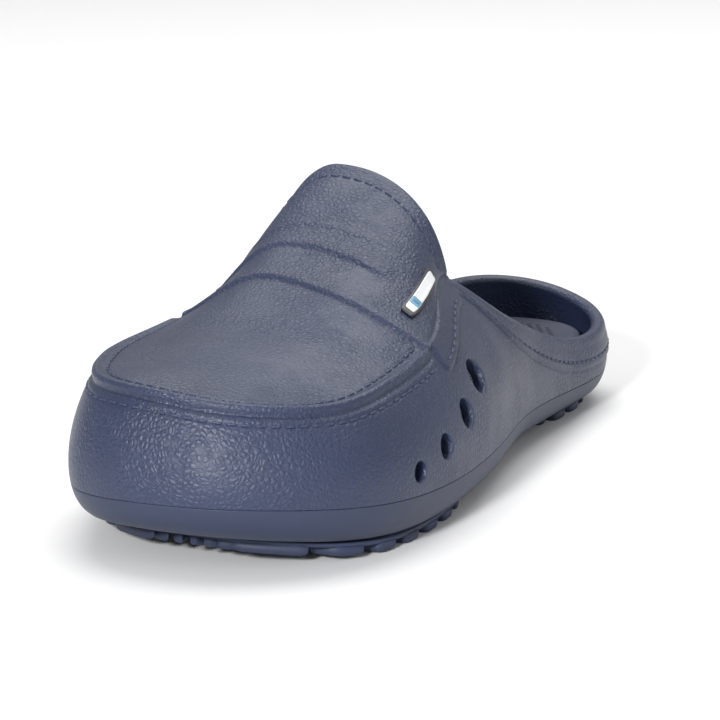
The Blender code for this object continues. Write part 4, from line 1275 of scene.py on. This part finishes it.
def make_tread(name, ends, columns):
    """Tread pad: a thin plate under the sole with rows of rounded lugs."""
    finish = bpy.context.scene.clog_finish
    low, high = (end * LENGTH for end in ends)
    pieces = Pieces()
    plate_low = TREAD_HEIGHT - GROOVE_DEPTH
    lug_profile = (
        (0, plate_low - LUG_SINK), (0.1 * MM, TREAD_HEIGHT - 1.2 * MM),
        (0.35 * MM, TREAD_HEIGHT - 0.35 * MM), (0.9 * MM, TREAD_HEIGHT),
    )

    def point(y, share, drop, inset=0.0):
        middle, half = tread_span(y, low, high)
        return np.stack([middle + (half - inset) * share, y, under_height(y) - drop], -1)

    shares = np.linspace(-1, 1, 15)
    loops = []
    for y in np.linspace(low, high, PLATE_SECTIONS):
        row = np.full(len(shares), y)
        top = point(row, shares, SEAT_GAP)
        bottom = point(row, shares[::-1], plate_low, 0.3 * MM)
        loops.append(np.concatenate([top, bottom]))
    pieces.add_loops(loops)

    grooves = [low + (FIRST_GROOVE + i) * GROOVE_PITCH for i in range(int((high - low) / GROOVE_PITCH) + 1)]
    grooves = [y for y in grooves if y < high - GROOVE_WIDTH]
    starts = [low, *(y + GROOVE_WIDTH for y in grooves)]
    stops = [*grooves, high]
    turns = np.linspace(0, 2 * math.pi, 24, endpoint=False) + math.pi / 24
    round_x = np.sign(np.cos(turns)) * np.abs(np.cos(turns)) ** LUG_SQUARENESS
    round_y = np.sign(np.sin(turns)) * np.abs(np.sin(turns)) ** LUG_SQUARENESS
    for start, stop in zip(starts, stops):
        width = tread_span(np.array((start + stop) / 2), low, high)[1]
        for column in range(columns):
            left, right = (-1 + 2 * (column + side) / columns for side in (0, 1))
            space = LUG_SPACE / 2 / width
            left, right = left + space * (column > 0), right - space * (column < columns - 1)
            loops = []
            for inset, drop in lug_profile:
                y = (start + stop) / 2 + ((stop - start) / 2 - inset) * round_y
                share = (left + right) / 2 + ((right - left) / 2 - inset / width) * round_x
                loops.append(point(y, share, drop))
            pieces.add_loops(loops)
    material = foam_material("moulded_tread", finish.sole_colour)
    place_piece(pieces.object(name + "_lugs", material), "tread_rubber", name)


def badge_place(y, rise):
    """Points and outward normals of the vamp on the outer side; rise runs from the seam to the crest."""
    def skin(at, share):
        lines = Ring(side_rows(1, at)).vamp_line()
        place = np.clip(share, 0, 1) * (lines.shape[1] - 1)
        first = np.minimum(place.astype(int), lines.shape[1] - 2)
        part = (place - first)[:, None]
        every = np.arange(len(lines))
        return lines[every, first] * (1 - part) + lines[every, first + 1] * part

    point = skin(y, rise)
    along = skin(y + MM, rise) - skin(y - MM, rise)
    up = skin(y, rise + 0.02) - skin(y, rise - 0.02)
    return point, unit(np.cross(along, up))


def badge_patch(pieces, half_length, rises, lift, thickness, corner, centre_y):
    """Rounded plate that follows the vamp: its underside, its softened edge and its face."""
    turns = np.linspace(0, 2 * math.pi, 96, endpoint=False)
    u = np.sign(np.cos(turns)) * np.abs(np.cos(turns)) ** corner
    v = np.sign(np.sin(turns)) * np.abs(np.sin(turns)) ** corner
    loops = []
    for inset, rise in BADGE_PROFILE:
        y = centre_y + (half_length - inset * MM) * u
        middle, half = (rises[0] + rises[1]) / 2, (rises[1] - rises[0]) / 2
        scale = 1 - inset * MM / (half * 2 * BADGE_RISE_LENGTH)
        turned = middle + BADGE_TURN * (y - BADGE_ALONG * LENGTH) / BADGE_LENGTH
        point, normal = badge_place(y, turned + half * v * scale)
        loops.append(point + normal * (lift + thickness * rise))
    pieces.add_loops(loops)


def make_badge():
    """Badge on the outer side of the strap: a dark plate, a plain pale face and a plain band."""
    finish = bpy.context.scene.clog_finish
    middle = BADGE_ALONG * LENGTH
    half = BADGE_LENGTH / 2
    strap = bpy.context.scene.clog_shape.strap_step * BADGE_STRAP_SHARE
    plate, face, band = Pieces(), Pieces(), Pieces()
    badge_patch(plate, half, BADGE_RISE, strap, BADGE_THICKNESS, 0.25, middle)
    margin = (BADGE_RISE[1] - BADGE_RISE[0]) * BADGE_RIM
    rises = (BADGE_RISE[0] + margin, BADGE_RISE[1] - margin)
    lift = strap + BADGE_THICKNESS - 0.3 * MM
    badge_patch(face, half * (1 - BADGE_RIM), rises, lift, BADGE_FACE_THICKNESS, 0.22, middle)
    lift += 0.35 * MM
    shift = half * (1 - BADGE_RIM) * 0.62
    low_band, high_band = rises[0] + margin * 0.2, rises[1] - margin * 0.2
    thickness = BADGE_FACE_THICKNESS * 0.7
    badge_patch(band, half * 0.14, (low_band, high_band), lift, thickness, 0.2, middle - shift)
    dark = plastic_material("dark_plastic", PLATE_COLOUR)
    pale = plastic_material("pale_plastic", finish.badge_colour)
    accent = plastic_material("band_plastic", finish.band_colour)
    place_piece(plate.object("badge_backing", dark), "badge_plate", "badge_plate")
    place_piece(face.object("badge_panel", pale), "badge_face", "badge_face")
    place_piece(band.object("badge_band", accent), "badge_face")


# ---------------------------------------------------------------- stage


def make_stage():
    """Pale floor that sweeps up behind, soft studio light and the camera."""
    finish = bpy.context.scene.clog_finish
    scene = bpy.context.scene
    material = bpy.data.materials.new("studio_floor")
    material.use_nodes = True
    tree = material.node_tree
    shader = tree.nodes["Principled BSDF"]
    place = add_node(tree, "ShaderNodeTexCoord").outputs["Object"]
    cloud = add_node(tree, "ShaderNodeTexNoise", {"Vector": place, "Scale": 3.0, "Detail": 3.0}).outputs[0]
    colour = add_mix(tree, cloud, tone(finish.floor_colour, 0.985), tone(finish.floor_colour, 1.0))
    tree.links.new(colour, shader.inputs["Base Color"])
    shader.inputs["Roughness"].default_value = 0.9
    behind = add_node(tree, "ShaderNodeNewGeometry").outputs["Backfacing"]
    clear = add_node(tree, "ShaderNodeBsdfTransparent").outputs[0]
    either = add_node(tree, "ShaderNodeMixShader", {0: behind, 1: shader.outputs[0], 2: clear}).outputs[0]
    tree.links.new(either, tree.nodes["Material Output"].inputs["Surface"])
    turns = np.linspace(0, math.pi / 2, 24)
    bend = [(SWEEP_START + SWEEP_RADIUS * math.sin(t), SWEEP_RADIUS * (1 - math.cos(t))) for t in turns]
    profile = [(-FLOOR_REACH, 0), *bend, (bend[-1][0], FLOOR_REACH)]
    points = [(x, y, z) for y, z in profile for x in (-FLOOR_REACH, FLOOR_REACH)]
    faces = [(2 * i, 2 * i + 1, 2 * i + 3, 2 * i + 2) for i in range(len(profile) - 1)]
    floor = mesh_object("studio_sweep", points, faces, material)
    floor.data.flip_normals()
    floor.rotation_euler = Euler((0, 0, CAMERA_TURN))

    world = bpy.data.worlds.new("studio")
    world.use_nodes = True
    world.node_tree.nodes["Background"].inputs["Color"].default_value = (1, 1, 1, 1)
    world.node_tree.nodes["Background"].inputs["Strength"].default_value = WORLD_STRENGTH
    scene.world = world
    scene.view_settings.view_transform = "Standard"
    for name, place, aim, size, power in LIGHTS:
        data = bpy.data.lights.new(name, "AREA")
        data.shape = "DISK"
        data.size = size
        data.energy = power
        lamp = bpy.data.objects.new(name, data)
        lamp.location = place
        lamp.rotation_euler = (Vector(aim) - Vector(place)).to_track_quat("-Z", "Y").to_euler()
        scene.collection.objects.link(lamp)
    data = bpy.data.cameras.new("camera")
    data.lens = CAMERA_LENS
    data.clip_start = 10 * MM
    camera = bpy.data.objects.new("camera", data)
    camera.location = CAMERA_PLACE
    aim = Vector(CAMERA_AIM) - Vector(CAMERA_PLACE)
    camera.rotation_euler = aim.to_track_quat("-Z", "Y").to_euler()
    scene.collection.objects.link(camera)
    scene.camera = camera


# ---------------------------------------------------------------- operators


class CLOG_OT_upper(bpy.types.Operator):
    """Build the moulded upper with its vents, lip, strap and collar band"""

    bl_idname = "clog.upper"
    bl_label = "Upper"

    def execute(self, context):
        make_upper()
        return {"FINISHED"}


class CLOG_OT_stitching(bpy.types.Operator):
    """Lay the moulded stitches along the seam, the tongue and the collar band"""

    bl_idname = "clog.stitching"
    bl_label = "Stitching"

    def execute(self, context):
        make_stitching()
        return {"FINISHED"}


class CLOG_OT_sole(bpy.types.Operator):
    """Build the sole unit with its bed"""

    bl_idname = "clog.sole"
    bl_label = "Sole"

    def execute(self, context):
        make_sole()
        return {"FINISHED"}


class CLOG_OT_treads(bpy.types.Operator):
    """Build the two lugged tread pads"""

    bl_idname = "clog.treads"
    bl_label = "Treads"

    def execute(self, context):
        columns = context.scene.clog_shape.tread_columns
        make_tread("forefoot_tread", FOREFOOT_TREAD, columns)
        make_tread("heel_tread", HEEL_TREAD, columns - 2)
        return {"FINISHED"}


class CLOG_OT_insole(bpy.types.Operator):
    """Build the loose insole with its dots"""

    bl_idname = "clog.insole"
    bl_label = "Insole"

    def execute(self, context):
        make_insole()
        return {"FINISHED"}


class CLOG_OT_badge(bpy.types.Operator):
    """Build the plain badge on the strap"""

    bl_idname = "clog.badge"
    bl_label = "Badge"

    def execute(self, context):
        make_badge()
        return {"FINISHED"}


class CLOG_OT_stage(bpy.types.Operator):
    """Set up the floor, the soft light and the camera"""

    bl_idname = "clog.stage"
    bl_label = "Stage"

    def execute(self, context):
        make_stage()
        return {"FINISHED"}


OPERATORS = (
    CLOG_OT_upper, CLOG_OT_stitching, CLOG_OT_sole, CLOG_OT_treads, CLOG_OT_insole, CLOG_OT_badge,
    CLOG_OT_stage,
)


class CLOG_PT_panel(bpy.types.Panel):
    """Buttons and settings for the clog"""

    bl_idname = "CLOG_PT_panel"
    bl_label = "Garden clog"
    bl_space_type = "VIEW_3D"
    bl_region_type = "UI"
    bl_category = "Clog"

    def draw(self, context):
        for settings in (context.scene.clog_shape, context.scene.clog_finish):
            for name in settings.__annotations__:
                self.layout.prop(settings, name)
        for operator in OPERATORS:
            self.layout.operator(operator.bl_idname)


CLASSES = (ClogShape, ClogFinish, *OPERATORS, CLOG_PT_panel)


def register():
    for cls in CLASSES:
        bpy.utils.register_class(cls)
    bpy.types.Scene.clog_shape = PointerProperty(type=ClogShape)
    bpy.types.Scene.clog_finish = PointerProperty(type=ClogFinish)


def unregister():
    del bpy.types.Scene.clog_shape
    del bpy.types.Scene.clog_finish
    for cls in reversed(CLASSES):
        bpy.utils.unregister_class(cls)


def main():
    register()
    for operator in OPERATORS:
        group, name = operator.bl_idname.split(".")
        getattr(getattr(bpy.ops, group), name)()


if __name__ == "__main__":
    main()
